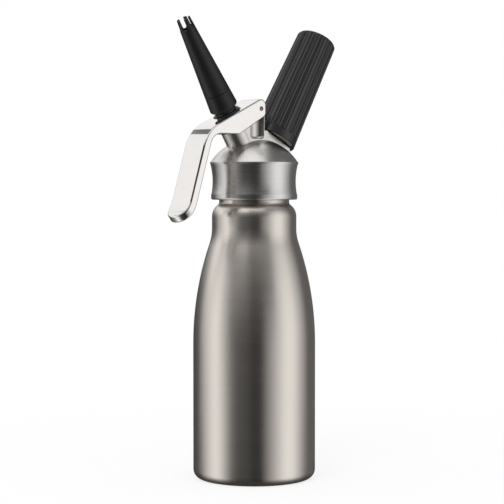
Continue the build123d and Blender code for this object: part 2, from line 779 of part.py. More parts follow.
def make_charger_stud():
    """Flanged stud screwed into the charger seat; the holder screws onto it."""
    ridges = thread_outline(stud_radius, stud_thread_depth, stud_thread_pitch, stud_neck_top, stud_top)
    groove_mid = charger_seat_station - stud_seal_setback
    groove_radius = spigot_socket_radius - 2 * stud_seal_radius
    stud = turned(
        [
            (0, socket_floor),
            (spigot_socket_radius, socket_floor),
            (spigot_socket_radius, groove_mid - stud_seal_radius),
            (groove_radius, groove_mid - stud_seal_radius),
            (groove_radius, groove_mid + stud_seal_radius),
            (spigot_socket_radius, groove_mid + stud_seal_radius),
            (spigot_socket_radius, charger_seat_station),
            (stud_neck_radius, charger_seat_station),
            (stud_neck_radius, stud_neck_top),
            (stud_radius, stud_neck_top),
            *ridges,
            (stud_radius, stud_top),
            (0, stud_top),
        ],
        charger_frame,
    )
    stud -= rod(charger_neck_radius + charger_neck_clearance, gasket_floor, stud_top, charger_frame)
    stud -= rod(piercing_pin_radius + running_clearance, pin_flange_top, gasket_floor, charger_frame)
    stud -= rod(stud_core_radius, socket_floor, pin_flange_top, charger_frame)
    return stud


def make_stud_seal():
    """O-ring that seals the stud in its socket."""
    ring = Torus(spigot_socket_radius - stud_seal_radius, stud_seal_radius)
    return charger_frame.location * Pos(0, 0, charger_seat_station - stud_seal_setback) * ring


def make_piercing_pin():
    """Hollow needle that opens the charger's cap."""
    tip = charger_low + piercing_depth
    flange_low_station = pin_flange_top - pin_flange_thickness
    return turned(
        [
            (piercing_pin_bore, flange_low_station),
            (stud_core_radius - running_clearance, flange_low_station),
            (stud_core_radius - running_clearance, pin_flange_top),
            (piercing_pin_radius, pin_flange_top),
            (piercing_pin_radius, charger_low),
            (piercing_pin_bore, tip),
        ],
        charger_frame,
    )


def make_pin_screw():
    """Hollow grub screw that holds the piercing pin from below."""
    high = pin_flange_top - pin_flange_thickness
    low = high - pin_screw_length
    return tube(piercing_pin_radius, stud_core_radius - running_clearance, low, high, charger_frame)


def make_inlet_valve():
    """Rubber one-way valve below the screw: a plug with a blind bore that slits open."""
    high = pin_flange_top - pin_flange_thickness - pin_screw_length
    low = high - inlet_valve_length
    blank = rod(stud_core_radius - running_clearance, low, high, charger_frame)
    return blank - rod(piercing_pin_radius, low + inlet_valve_floor, high, charger_frame)


def make_charger_gasket():
    """Rubber ring that seals the charger's neck around the needle."""
    outer = charger_neck_radius + charger_neck_clearance - running_clearance
    inner = piercing_pin_radius + seat_clearance
    return tube(inner, outer, gasket_floor, charger_low, charger_frame)


def make_charger_capsule():
    """Steel gas charger with a pierced cap, a narrow neck and a round end."""
    neck_high = charger_low + charger_neck_length
    shoulder_high = neck_high + charger_shoulder_length
    round_z = charger_high - charger_body_radius
    bore = piercing_pin_radius + seat_clearance
    outer = [
        Line((bore, charger_low), (charger_neck_radius, charger_low)),
        Line((charger_neck_radius, charger_low), (charger_neck_radius, neck_high)),
        Spline(
            (charger_neck_radius, neck_high),
            (charger_body_radius, shoulder_high),
            tangents=((0, 1), (0, 1)),
        ),
        Line((charger_body_radius, shoulder_high), (charger_body_radius, round_z)),
        CenterArc((0, round_z), charger_body_radius, 0, 90),
    ]
    inner_radius = charger_body_radius - charger_wall
    neck_inner = charger_neck_radius - charger_wall
    cap_high = charger_low + charger_wall
    inner = [
        Line((0, charger_high), (0, charger_high - charger_wall)),
        CenterArc((0, round_z), inner_radius, 90, -90),
        Line((inner_radius, round_z), (inner_radius, shoulder_high)),
        Line((inner_radius, shoulder_high), (neck_inner, neck_high)),
        Line((neck_inner, neck_high), (neck_inner, cap_high)),
        Line((neck_inner, cap_high), (bore, cap_high)),
        Line((bore, cap_high), (bore, charger_low)),
    ]
    outline = make_face([*outer, *inner])
    return charger_frame.location * revolve(Plane.XZ * outline, Axis.Z)


def make_charger_sleeve():
    """Plastic charger holder with grip flutes, closed at its outer end."""
    insert_low = stud_neck_top + seat_clearance
    insert_high = stud_top + seat_clearance
    bore_round_z = charger_high - charger_body_radius
    blank_face = make_face(
        Polyline(
            (0, sleeve_low),
            (sleeve_foot_radius, sleeve_low),
            (sleeve_tip_radius, sleeve_high),
            (0, sleeve_high),
            close=True,
        )
    )
    foot_corner = blank_face.vertices().group_by(Axis.Y)[0].sort_by(Axis.X)[-1]
    blank_face = fillet(foot_corner, sleeve_foot_round)
    tip_corner = blank_face.vertices().group_by(Axis.Y)[-1].sort_by(Axis.X)[-1]
    sleeve = revolve(Plane.XZ * fillet(tip_corner, sleeve_end_round), Axis.Z)
    taper = (sleeve_foot_radius - sleeve_tip_radius) / sleeve_length
    flute_low = sleeve_low + sleeve_foot_band
    flute_centre = sleeve_foot_radius - taper * sleeve_foot_band + sleeve_flute_radius - sleeve_flute_depth
    lean = degrees_of(taper * sleeve_length, sleeve_length)
    flute = Cylinder(sleeve_flute_radius, sleeve_length, align=(Align.CENTER, Align.CENTER, Align.MIN))
    flute += Sphere(sleeve_flute_radius)
    flute = Pos(flute_centre, 0, flute_low) * Rot(0, -lean, 0) * flute
    for index in range(sleeve_flutes):
        sleeve -= Rot(0, 0, index * 360 / sleeve_flutes) * flute
    sleeve -= rod(insert_inner_radius, sleeve_low, insert_low)
    sleeve -= rod(insert_outer_radius, insert_low, insert_high)
    sleeve -= rod(sleeve_bore_radius, sleeve_low, bore_round_z)
    sleeve -= Pos(0, 0, bore_round_z) * Sphere(sleeve_bore_radius)
    return charger_frame.location * sleeve


def make_sleeve_insert():
    """Metal bush moulded into the holder; it screws onto the stud."""
    low = stud_neck_top + seat_clearance
    high = stud_top + seat_clearance
    return tube(insert_inner_radius, insert_outer_radius, low, high, charger_frame)


makers = {
    "bottle": make_bottle,
    "neck_ring": make_neck_ring,
    "head_gasket": make_head_gasket,
    "collar_ring": make_collar_ring,
    "head_casting": make_head_casting,
    "pivot_bush": make_pivot_bush,
    "lever": make_lever,
    "lever_pin": make_lever_pin,
    "valve_stem": make_valve_stem,
    "valve_seal": make_valve_seal,
    "stem_o_ring": make_stem_o_ring,
    "valve_spring": make_valve_spring,
    "spring_collar": make_spring_collar,
    "nozzle_adapter": make_nozzle_adapter,
    "nozzle_seal": make_nozzle_seal,
    "decorating_nozzle": make_decorating_nozzle,
    "charger_stud": make_charger_stud,
    "stud_seal": make_stud_seal,
    "piercing_pin": make_piercing_pin,
    "pin_screw": make_pin_screw,
    "inlet_valve": make_inlet_valve,
    "charger_gasket": make_charger_gasket,
    "charger_capsule": make_charger_capsule,
    "charger_sleeve": make_charger_sleeve,
    "sleeve_insert": make_sleeve_insert,
}

os.makedirs("parts", exist_ok=True)
for node, make in makers.items():
    export_step(make(), f"parts/{node}.step")

print(f"pivot x {pivot_x:.3f} z {pivot_z:.3f}, collar top {collar_top:.3f}")
print(f"valve axis from z {valve_frame.origin.Z:.3f}, stroke {valve_stroke:.4f} for {lever_swing} degrees")
print(f"charger axis from z {charger_frame.origin.Z:.3f}, holder {sleeve_length:.2f} long")
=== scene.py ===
# %% [markdown]
# # A cream whipper, dressed in Blender
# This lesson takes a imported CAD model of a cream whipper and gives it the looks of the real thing: a
# brushed steel bottle, a satin aluminium head, a mirror-polished lever, and a black nozzle and
# charger holder. The CAD pieces stay where they are. What Blender adds is light, finishes, and the
# few pieces that need a shape of their own: three threads, a spring and a grooved pin.

# %% Load the frame
import json
from math import atan2, cos, degrees, pi, radians, sin

import bmesh
import bpy
import numpy as np
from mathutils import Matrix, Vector


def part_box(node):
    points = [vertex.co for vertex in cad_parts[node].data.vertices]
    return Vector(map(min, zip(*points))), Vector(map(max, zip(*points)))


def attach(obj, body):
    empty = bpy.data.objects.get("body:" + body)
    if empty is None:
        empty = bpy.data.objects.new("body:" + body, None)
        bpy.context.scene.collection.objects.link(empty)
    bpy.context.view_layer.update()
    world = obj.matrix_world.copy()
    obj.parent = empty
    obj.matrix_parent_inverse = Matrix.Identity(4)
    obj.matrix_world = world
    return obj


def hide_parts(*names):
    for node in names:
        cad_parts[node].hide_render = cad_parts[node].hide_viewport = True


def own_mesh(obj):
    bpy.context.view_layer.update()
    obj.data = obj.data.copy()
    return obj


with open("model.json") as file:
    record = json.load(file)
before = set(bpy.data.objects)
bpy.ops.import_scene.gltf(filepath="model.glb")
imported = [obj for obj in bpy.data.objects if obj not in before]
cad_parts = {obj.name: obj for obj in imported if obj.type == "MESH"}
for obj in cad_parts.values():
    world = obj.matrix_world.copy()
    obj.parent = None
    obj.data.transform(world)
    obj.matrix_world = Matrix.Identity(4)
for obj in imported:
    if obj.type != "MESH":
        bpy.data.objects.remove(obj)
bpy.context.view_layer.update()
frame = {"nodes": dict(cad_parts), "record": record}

nodes = frame["nodes"]

# %% [markdown]
# ## The camera
# The photograph was taken with a long lens, a little above the middle of the object. A camera
# could be placed by eye, but the bottle's upright sides and its round foot fix it well: the sides
# stay almost parallel, so the lens is long, and the foot is a flat ellipse, so the camera looks down
# by only two degrees. The lever side is turned towards the left.

# %% Camera
# Places are in metres, and the lens is in millimetres.
CAMERA_TURN = radians(-39.0)
CAMERA_DOWN = radians(2.339)
CAMERA_BACK = 1.1830
CAMERA_SIDE = -0.00145
CAMERA_HEIGHT = 0.20066
CAMERA_LENS = 125.93

backwards = Vector((sin(CAMERA_TURN), -cos(CAMERA_TURN), 0))
rightwards = Vector((cos(CAMERA_TURN), sin(CAMERA_TURN), 0))
camera_data = bpy.data.cameras.new("photo_camera")
camera_data.lens = CAMERA_LENS
camera = bpy.data.objects.new("photo_camera", camera_data)
camera.location = backwards * CAMERA_BACK + rightwards * CAMERA_SIDE + Vector((0, 0, CAMERA_HEIGHT))
camera.rotation_euler = (pi / 2 - CAMERA_DOWN, 0, CAMERA_TURN)
bpy.context.scene.collection.objects.link(camera)
bpy.context.scene.camera = camera
bpy.context.scene.view_settings.view_transform = "Standard"
print("camera at", tuple(round(value, 3) for value in camera.location))

# %% [markdown]
# ## Small helpers for materials
# Colours are given as sRGB hex values, but shaders add up light, so they need linear values.
# One function does that change. Another adds a node, sets its options, and fills or links its
# sockets, so a whole material reads as a list of nodes. Pattern sizes are given in millimetres, and a
# last one turns them into the scale that a texture takes.

# %% Colour and node helpers
# Blender's unit here is the metre.
MM = 0.001
# The sRGB curve is a straight line up to its knee, and a power curve above it.
SRGB_KNEE = 0.04045
SRGB_SLOPE = 12.92
SRGB_OFFSET = 0.055
SRGB_SCALE = 1.055
SRGB_POWER = 2.4


def linear(hex_colour):
    """Turn an sRGB colour such as #d8d0c8 into the linear RGBA that shaders take."""
    shares = [int(hex_colour[start:start + 2], 16) / 255 for start in (1, 3, 5)]
    light = [
        s / SRGB_SLOPE if s <= SRGB_KNEE else ((s + SRGB_OFFSET) / SRGB_SCALE) ** SRGB_POWER
        for s in shares
    ]
    return (*light, 1.0)


def add_node(tree, kind, inputs=None, **settings):
    """Add one node, set its options, then fill each named socket or link it to another's output."""
    node = tree.nodes.new(kind)
    for option, value in settings.items():
        setattr(node, option, value)
    for socket, value in (inputs or {}).items():
        if isinstance(value, bpy.types.NodeSocket):
            tree.links.new(value, node.inputs[socket])
        else:
            node.inputs[socket].default_value = value
    return node


def empty_material(name):
    """Start a material with no nodes in it."""
    material = bpy.data.materials.new(name)
    material.use_nodes = True
    material.node_tree.nodes.clear()
    return material


def per_metre(size_mm):
    """Texture scale at which a noise cell is about this many millimetres wide."""
    return 1 / (size_mm * MM)


print("mid grey #808080 is", round(linear("#808080")[0], 3), "in linear light")

# %% [markdown]
# ## Meshes from rows of points
# Threads, springs, floors and tents are all grids of points: rows along one direction, columns along
# the other. Primitive cylinders with modifiers could give some of them, but a thread's crest climbs
# as it goes round, so here every point is worked out, and one function skins the grid with quads.

# %% Grid mesh helpers
SHARP_ANGLE = radians(32)
WELD_DISTANCE = 1e-6


def grid_mesh(name, points, close_rows=False, close_columns=False):
    """Skin a (rows, columns, 3) array of points with quads, and close it around where asked."""
    rows, columns = points.shape[:2]
    index = np.arange(rows * columns).reshape(rows, columns)
    if close_rows:
        index = np.vstack([index, index[:1]])
    if close_columns:
        index = np.hstack([index, index[:, :1]])
    quads = np.stack([index[:-1, :-1], index[1:, :-1], index[1:, 1:], index[:-1, 1:]], axis=-1)
    mesh = bpy.data.meshes.new(name)
    mesh.from_pydata(points.reshape(-1, 3).tolist(), [], quads.reshape(-1, 4).tolist())
    return mesh


def weld(mesh, fill_ends=False):
    """Join points that coincide, close open ends where asked, and turn all faces outwards."""
    work = bmesh.new()
    work.from_mesh(mesh)
    bmesh.ops.remove_doubles(work, verts=work.verts, dist=WELD_DISTANCE)
    if fill_ends:
        bmesh.ops.holes_fill(work, edges=[edge for edge in work.edges if edge.is_boundary])
    bmesh.ops.recalc_face_normals(work, faces=work.faces)
    work.to_mesh(mesh)
    work.free()


def add_object(name, mesh):
    """Put a mesh into the scene, smooth except along real edges."""
    mesh.shade_smooth()
    mesh.set_sharp_from_angle(angle=SHARP_ANGLE)
    piece = bpy.data.objects.new(name, mesh)
    bpy.context.scene.collection.objects.link(piece)
    return piece


print("edges sharper than", round(degrees(SHARP_ANGLE)), "degrees stay crisp")

# %% [markdown]
# ## The floor
# Product photographs of this kind stand on a white sweep, so there is no horizon. A curved sweep
# could be modelled, but it would show its bend in other views. Here a pale disc carries the soft
# shadow under the bottle and fades to nothing before its rim, and the world behind it is white.

# %% Floor disc
FLOOR_RADIUS = 0.60
FLOOR_RINGS = 13
RING_STEPS = 96

floor_angles = np.linspace(0, 2 * pi, RING_STEPS, endpoint=False)
floor_radii = np.linspace(0, FLOOR_RADIUS, FLOOR_RINGS)
floor_points = np.zeros((FLOOR_RINGS, RING_STEPS, 3))
floor_points[..., 0] = floor_radii[:, None] * np.cos(floor_angles)
floor_points[..., 1] = floor_radii[:, None] * np.sin(floor_angles)
floor_mesh = grid_mesh("studio_floor", floor_points, close_columns=True)
weld(floor_mesh)
add_object("studio_floor", floor_mesh)
print("floor disc", 2 * FLOOR_RADIUS, "m across")

# %% Floor finish
FLOOR_COLOUR = "#fafafa"
WHITE_GLOW = 1.0
# The camera sees this share of plain white in the paper. The rest shows the shadow.
FLOOR_LIFT = 0.80
FLOOR_SOLID_RADIUS = 0.12
FLOOR_FADED_RADIUS = 0.50

floor_finish = empty_material("matt_white_paper_floor")
tree = floor_finish.node_tree
# Matt paper scatters light evenly: it shows a soft shadow and no reflection.
paper = add_node(tree, "ShaderNodeBsdfDiffuse", {"Color": linear(FLOOR_COLOUR)})
glow = add_node(tree, "ShaderNodeEmission", {"Strength": WHITE_GLOW})
rays = add_node(tree, "ShaderNodeLightPath")
lift = add_node(
    tree, "ShaderNodeMath", {0: rays.outputs["Is Camera Ray"], 1: FLOOR_LIFT}, operation="MULTIPLY"
)
lifted = add_node(
    tree, "ShaderNodeMixShader", {0: lift.outputs[0], 1: paper.outputs[0], 2: glow.outputs[0]}
)
place = add_node(tree, "ShaderNodeTexCoord")
reach = add_node(tree, "ShaderNodeVectorMath", {0: place.outputs["Object"]}, operation="LENGTH")
fade = add_node(
    tree,
    "ShaderNodeMapRange",
    {"Value": reach.outputs["Value"], "From Min": FLOOR_SOLID_RADIUS, "From Max": FLOOR_FADED_RADIUS},
    interpolation_type="SMOOTHSTEP",
)
clear = add_node(tree, "ShaderNodeBsdfTransparent")
faded = add_node(
    tree, "ShaderNodeMixShader", {0: fade.outputs[0], 1: lifted.outputs[0], 2: clear.outputs[0]}
)
add_node(tree, "ShaderNodeOutputMaterial", {"Surface": faded.outputs[0]})
floor_mesh.materials.append(floor_finish)
print(floor_finish.name, "is solid up to", FLOOR_SOLID_RADIUS, "m and gone at", FLOOR_FADED_RADIUS, "m")

# %% [markdown]
# ## The white room and its lamp
# The object stands in a bright room, and one large softbox at the upper left draws its shadow. The
# world could be plain white, but then the white background would also fix how much light falls on
# the object. The Light Path node says what kind of ray is looking, so the world can be white where
# it is seen, also in a reflection, and a little weaker where it only lights.

# %% World
SKY_COLOUR = "#ffffff"
WORLD_FILL = 0.85

world = bpy.data.worlds.new("white_room")
bpy.context.scene.world = world
world.use_nodes = True
tree = world.node_tree
tree.nodes.clear()
rays = add_node(tree, "ShaderNodeLightPath")
seen = add_node(
    tree, "ShaderNodeMath", {0: rays.outputs["Is Camera Ray"], 1: rays.outputs["Is Glossy Ray"]},
    operation="MAXIMUM",
)
shown = add_node(
    tree, "ShaderNodeMath", {0: seen.outputs[0], 1: rays.outputs["Is Transmission Ray"]},
    operation="MAXIMUM",
)
level = add_node(tree, "ShaderNodeMapRange", {"Value": shown.outputs[0], "To Min": WORLD_FILL})
sky = add_node(
    tree, "ShaderNodeBackground", {"Color": linear(SKY_COLOUR), "Strength": level.outputs[0]}
)
add_node(tree, "ShaderNodeOutputWorld", {"Surface": sky.outputs[0]})
print("the room lights with a strength of", WORLD_FILL)

# %% Softbox
# Power in watts, size and places in metres. The tent below shows in the metal, so the lamp doesn't.
KEY_POWER = 9.0
KEY_SIZE = 0.9
KEY_PLACE = Vector((-1.05, -0.75, 1.15))
KEY_TARGET = Vector((0, 0, 0.15))

key_data = bpy.data.lights.new("softbox", "AREA")
key_data.energy = KEY_POWER
key_data.size = KEY_SIZE
key = bpy.data.objects.new("softbox", key_data)
key.location = KEY_PLACE
key.rotation_euler = (KEY_TARGET - KEY_PLACE).to_track_quat("-Z", "Y").to_euler()
key.visible_glossy = False
bpy.context.scene.collection.objects.link(key)
print("softbox of", KEY_POWER, "W at", tuple(round(value, 2) for value in KEY_PLACE))

# %% [markdown]
# ## The light tent
# Bare metal has almost no colour of its own: it shows what stands around it. A photographer puts
# shiny metal into a tent of white cloth and hangs black cloth where the metal should go dark. Plain
# area lamps would give hard-edged stripes, so the tent is one dome whose cloth glows more in some
# places than in others. It is seen by reflections only, so it neither lights the floor nor hides the
# view. Angles to the side are counted from the camera's own direction, to the right.

# %% Cards of the tent
# Each card has side angles and elevations, both in degrees, and a glow. The four angles say where it
# starts, is full, is still full, and ends. The small grey card hangs in two pieces of different
# height, so that the lever's bend mirrors it and the lever's curled end doesn't.
TENT_BASE = 0.06
TENT_CARDS = {
    "right_grey_card": ((96, 110, 172, 180), (-90, -89, 50, 60), 0.13),
    "front_grey_card": ((-100, -90, -36, -33), (-90, -89, 60, 66), 0.12),
    "front_black_card": ((-36, -33, 20, 60), (-90, -89, 40, 60), 0.022),
    "front_dark_card": ((-36, -33, -12, -2), (-90, -89, 22, 40), 0.045),
    "left_window": ((-130, -83, -74, -44), (-90, -89, 43, 50), 1.05),
    "left_back_window": ((-192, -172, -108, -90), (5, 26, 44, 50), 1.0),
    "right_window": ((13, 63, 78, 119), (-90, -89, 12, 70), 1.05),
    "front_left_cloth": ((-70, -58, -24, -4), (4, 48, 60, 66), 0.60),
    "front_middle_cloth": ((-18, -8, 20, 40), (10, 48, 60, 66), 0.30),
    "front_left_lamp": ((-66, -56, -26, -16), (45, 49, 58, 60), 2.0),
    "black_ring": ((-190, -180, -95, -85), (48, 52, 62, 68), 0.05),
    "roof": ((-360, -359, 359, 360), (64, 75, 90, 91), 1.02),
    "front_roof": ((-95, -72, 40, 70), (50, 62, 90, 91), 1.20),
    "dark_back_roof": ((45, 60, 150, 165), (44, 52, 60, 78), 0.13),
    "back_right_window": ((141, 152, 176, 190), (34, 50, 90, 91), 1.0),
    "grip_window": ((-124, -114, -104, -96), (8, 16, 32, 36), 1.02),
    "black_strap": ((-100, -98, 4, 8), (25.0, 26.0, 32.0, 33.0), 0.04),
    "low_black_strap": ((-8, -4, 40, 46), (12.0, 14.0, 25.0, 26.0), 0.04),
    "roof_strap": ((55, 60, 190, 195), (77.5, 78.0, 82.0, 82.5), 0.05),
    "small_grey_card": ((-145.4, -145.0, -134.2, -133.8), (39.2, 39.35, 43.0, 43.5), 0.18),
    "small_grey_card_end": ((-135.4, -135.0, -128.4, -128.0), (38.45, 38.55, 43.0, 43.5), 0.18),
}
HALF_TURN = 180
FULL_TURN = 360


def window(value, stops):
    """Rise from 0 to 1 between the first two stops, stay, and fall between the last two."""
    rise = (value - stops[0]) / (stops[1] - stops[0])
    fall = (stops[3] - value) / (stops[3] - stops[2])
    return np.clip(np.minimum(rise, fall), 0, 1)


def cloth_glow(side, rise):
    """Brightness of the tent at a side angle and an elevation: each card covers the ones before it."""
    glow = np.full(np.broadcast(side, rise).shape, TENT_BASE)
    for side_stops, rise_stops, level in TENT_CARDS.values():
        middle = (side_stops[0] + side_stops[3]) / 2
        turned_side = (side - middle + HALF_TURN) % FULL_TURN - HALF_TURN + middle
        cover = window(turned_side, side_stops) * window(rise, rise_stops)
        glow = glow + (level - glow) * cover
    return glow


print(len(TENT_CARDS), "cards hang in the tent")

# %% [markdown]
# ## The tent's mesh
# A dome like this is often painted with a picture of a studio. Here the glow of the cards is worked
# out for every point of the mesh and kept there as an attribute, which the shader reads, so nothing
# has to be loaded and every card can be moved by its numbers. A cloth on the floor carries the
# cards on under the object.

# %% Tent dome
TENT_RADIUS = 4.0
TENT_SIDE_STEPS = 480
TENT_RISE_STEPS = 481
ZENITH = 90

camera_angle = degrees(atan2(backwards.y, backwards.x))
side_angles = np.linspace(-HALF_TURN, HALF_TURN, TENT_SIDE_STEPS, endpoint=False)
headings = np.radians(camera_angle + side_angles)
rises = np.radians(np.linspace(0, ZENITH, TENT_RISE_STEPS))
dome = np.zeros((TENT_RISE_STEPS, TENT_SIDE_STEPS, 3))
dome[..., 0] = TENT_RADIUS * np.cos(rises)[:, None] * np.cos(headings)
dome[..., 1] = TENT_RADIUS * np.cos(rises)[:, None] * np.sin(headings)
dome[..., 2] = TENT_RADIUS * np.sin(rises)[:, None]
dome_glow = cloth_glow(side_angles[None, :], np.degrees(rises)[:, None])
print("dome of", TENT_RISE_STEPS, "rings, facing the camera at", round(camera_angle, 1), "degrees")

# %% Cloth on the floor
# Radii in metres. The rings are close together around the bottle's foot, where the cloth is painted dark
# as the shadow around the bottle's foot.
CLOTH_LIFT = 0.0004
FOOT_RADII = [0.035, 0.038, 0.040, 0.042, 0.044, 0.047, 0.050, 0.06]
CLOTH_RADII = np.array([*FOOT_RADII, 0.1, 0.4, 1.5, TENT_RADIUS])
# Painted shadow around the foot: it fades out between these two radii, and inside them the cloth has the
# glow below.
PAINTED_SHADE_RADII = (0.039, 0.050)
PAINTED_SHADE_GLOW = 0.05
BOTTLE_RADIUS = 0.041
NEAR_POWER = 1.7


def step(value, low, high):
    """Go smoothly from 0 at low to 1 at high."""
    share = np.clip((value - low) / (high - low), 0, 1)
    return share * share * (3 - 2 * share)


cloth = np.zeros((len(CLOTH_RADII), TENT_SIDE_STEPS, 3))
cloth[..., 0] = CLOTH_RADII[:, None] * np.cos(headings)
cloth[..., 1] = CLOTH_RADII[:, None] * np.sin(headings)
cloth[..., 2] = CLOTH_LIFT
outside_painted_shade = step(CLOTH_RADII, *PAINTED_SHADE_RADII)[:, None]
# Close to the round foot, a mirrored direction turns twice as fast as the place on the floor does.
near_turn = 1 + (BOTTLE_RADIUS / np.maximum(CLOTH_RADII, BOTTLE_RADIUS)) ** NEAR_POWER
near_side = np.clip(near_turn[:, None] * side_angles, -HALF_TURN, HALF_TURN)
# Near the foot the cloth shows only the painted shadow's glow, for the shade that the bottle casts on the
# floor.
cloth_level = PAINTED_SHADE_GLOW + (cloth_glow(near_side, 0.0) - PAINTED_SHADE_GLOW) * outside_painted_shade
print("floor cloth of", len(CLOTH_RADII), "rings")

# %% Tent finish
tent_mesh = grid_mesh("light_tent", np.vstack([cloth, dome]), close_columns=True)
glow_values = np.vstack([cloth_level, dome_glow]).astype(np.float32)
tent_mesh.attributes.new("glow", "FLOAT", "POINT").data.foreach_set("value", glow_values.ravel())
tent = add_object("light_tent", tent_mesh)
tent.visible_camera = False
tent.visible_diffuse = False
tent.visible_transmission = False
tent.visible_volume_scatter = False
tent.visible_shadow = False

# Lit from behind, the white cloth glows evenly, and the black cloth hardly at all.
tent_finish = empty_material("glowing_white_and_black_cloth")
tree = tent_finish.node_tree
cloth_share = add_node(tree, "ShaderNodeAttribute", attribute_name="glow")
cloth_light = add_node(tree, "ShaderNodeEmission", {"Strength": cloth_share.outputs["Fac"]})
add_node(tree, "ShaderNodeOutputMaterial", {"Surface": cloth_light.outputs[0]})
tent_mesh.materials.append(tent_finish)
print("tent glow from", glow_values.min().round(3), "to", glow_values.max().round(3))

# %% [markdown]
# ## Brushed stainless steel, for the bottle
# The bottle is drawn from stainless sheet and brushed with a belt while it turns, so thousands of
# fine scratches run around it. They spread a reflection up and down but hardly sideways, which is
# why the bottle shows tall soft bands. An anisotropic shader gives that spread, and a stretched noise
# gives the scratches that are coarse enough to see.

# %% Scratches of the brushing
# Real scratches are about 0.05 mm wide. They are drawn 0.9 mm wide here so that they show at all.
SCRATCH_WIDTH = 0.9
SCRATCH_LENGTH = 40.0
SCRATCH_DETAIL = 3.0
# Where a Mapping node sets the size of a noise, the noise itself is left unscaled.
UNSCALED = 1.0

brushed_steel = empty_material("brushed_stainless_steel")
tree = brushed_steel.node_tree
place = add_node(tree, "ShaderNodeTexCoord")
along = per_metre(SCRATCH_LENGTH)
stretched = add_node(
    tree, "ShaderNodeMapping",
    {"Vector": place.outputs["Object"], "Scale": (along, along, per_metre(SCRATCH_WIDTH))},
)
scratches = add_node(
    tree, "ShaderNodeTexNoise",
    {"Vector": stretched.outputs[0], "Scale": UNSCALED, "Detail": SCRATCH_DETAIL},
)
print("scratches", SCRATCH_WIDTH, "mm wide and", SCRATCH_LENGTH, "mm long")

# %% Brushed stainless steel
SCRATCH_DEPTH = 0.05
SCRATCH_BUMP = 0.05
# Most of the noise lies between these two values, which get the ends of the roughness.
SCRATCH_NOISE = (0.3, 0.7)
# A Mix node has sockets for each kind of data. These are the ones for mixing two colours.
MIX_SHARE = 0
MIX_FIRST = 6
MIX_SECOND = 7
MIX_RESULT = 2
STEEL_DARK = "#dcd5ce"
STEEL_LIGHT = "#e4ddd6"
STEEL_ROUGHNESS = (0.28, 0.33)
STEEL_STREAK = 0.75
# A quarter turn lays the streak across the scratches.
STREAK_TURN = 0.25
BARE_METAL = 1.0

steel_colour = add_node(
    tree, "ShaderNodeMix",
    {MIX_SHARE: scratches.outputs["Fac"], MIX_FIRST: linear(STEEL_DARK), MIX_SECOND: linear(STEEL_LIGHT)},
    data_type="RGBA",
)
steel_roughness = add_node(
    tree, "ShaderNodeMapRange",
    {
        "Value": scratches.outputs["Fac"],
        "From Min": SCRATCH_NOISE[0],
        "From Max": SCRATCH_NOISE[1],
        "To Min": STEEL_ROUGHNESS[0],
        "To Max": STEEL_ROUGHNESS[1],
    },
)
scratch_bump = add_node(
    tree, "ShaderNodeBump",
    {"Height": scratches.outputs["Fac"], "Strength": SCRATCH_BUMP, "Distance": SCRATCH_DEPTH * MM},
)
around = add_node(tree, "ShaderNodeTangent", direction_type="RADIAL", axis="Z")
steel = add_node(
    tree, "ShaderNodeBsdfPrincipled",
    {
        "Base Color": steel_colour.outputs[MIX_RESULT],
        "Metallic": BARE_METAL,
        "Roughness": steel_roughness.outputs[0],
        "Anisotropic": STEEL_STREAK,
        "Anisotropic Rotation": STREAK_TURN,
        "Tangent": around.outputs[0],
        "Normal": scratch_bump.outputs[0],
    },
)
add_node(tree, "ShaderNodeOutputMaterial", {"Surface": steel.outputs[0]})
print(brushed_steel.name, "with a roughness of", *STEEL_ROUGHNESS)

# %% [markdown]
# ## Blasted aluminium, for the head
# The head is cast in aluminium and blasted with fine glass beads, which leaves millions of tiny
# dents: the metal shines softly and evenly in all directions. The dents could be modelled, but each
# is far smaller than a pixel. A fine noise that varies roughness and bump stands for them, and a
# coarse one gives the slightly cloudy tone of a casting.

# %% Blasted aluminium
# Bead dents are about 0.1 mm across. They are drawn 0.45 mm across so that they show.
BEAD_DENT = 0.45
DENT_DEPTH = 0.04
DENT_BUMP = 0.10
CLOUD_WIDTH = 14.0
# How many times a noise is refined by a finer one. Most of the finishes need little of it.
FINE_DETAIL = 2.0
HEAD_DARK = "#d3d0cd"
HEAD_LIGHT = "#e1deda"
HEAD_ROUGHNESS = (0.22, 0.36)

blasted_aluminium = empty_material("bead_blasted_aluminium")
tree = blasted_aluminium.node_tree
place = add_node(tree, "ShaderNodeTexCoord")
dents = add_node(
    tree, "ShaderNodeTexNoise",
    {"Vector": place.outputs["Object"], "Scale": per_metre(BEAD_DENT), "Detail": FINE_DETAIL},
)
clouds = add_node(
    tree, "ShaderNodeTexNoise",
    {"Vector": place.outputs["Object"], "Scale": per_metre(CLOUD_WIDTH), "Detail": FINE_DETAIL},
)
head_colour = add_node(
    tree, "ShaderNodeMix",
    {MIX_SHARE: clouds.outputs["Fac"], MIX_FIRST: linear(HEAD_DARK), MIX_SECOND: linear(HEAD_LIGHT)},
    data_type="RGBA",
)
head_roughness = add_node(
    tree, "ShaderNodeMapRange",
    {"Value": dents.outputs["Fac"], "To Min": HEAD_ROUGHNESS[0], "To Max": HEAD_ROUGHNESS[1]},
)
dent_bump = add_node(
    tree, "ShaderNodeBump",
    {"Height": dents.outputs["Fac"], "Strength": DENT_BUMP, "Distance": DENT_DEPTH * MM},
)
head_metal = add_node(
    tree, "ShaderNodeBsdfPrincipled",
    {
        "Base Color": head_colour.outputs[MIX_RESULT],
        "Metallic": BARE_METAL,
        "Roughness": head_roughness.outputs[0],
        "Normal": dent_bump.outputs[0],
    },
)
add_node(tree, "ShaderNodeOutputMaterial", {"Surface": head_metal.outputs[0]})
print(blasted_aluminium.name, "with dents", BEAD_DENT, "mm across")

# %% [markdown]
# ## Turned aluminium, for the collar
# The collar is turned on a lathe, so its marks run around it like the bottle's, only finer. They could
# be cut into the mesh as grooves, but real ones are too shallow for that to show. The bottle's recipe
# serves again, with closer lines and a weaker streak.

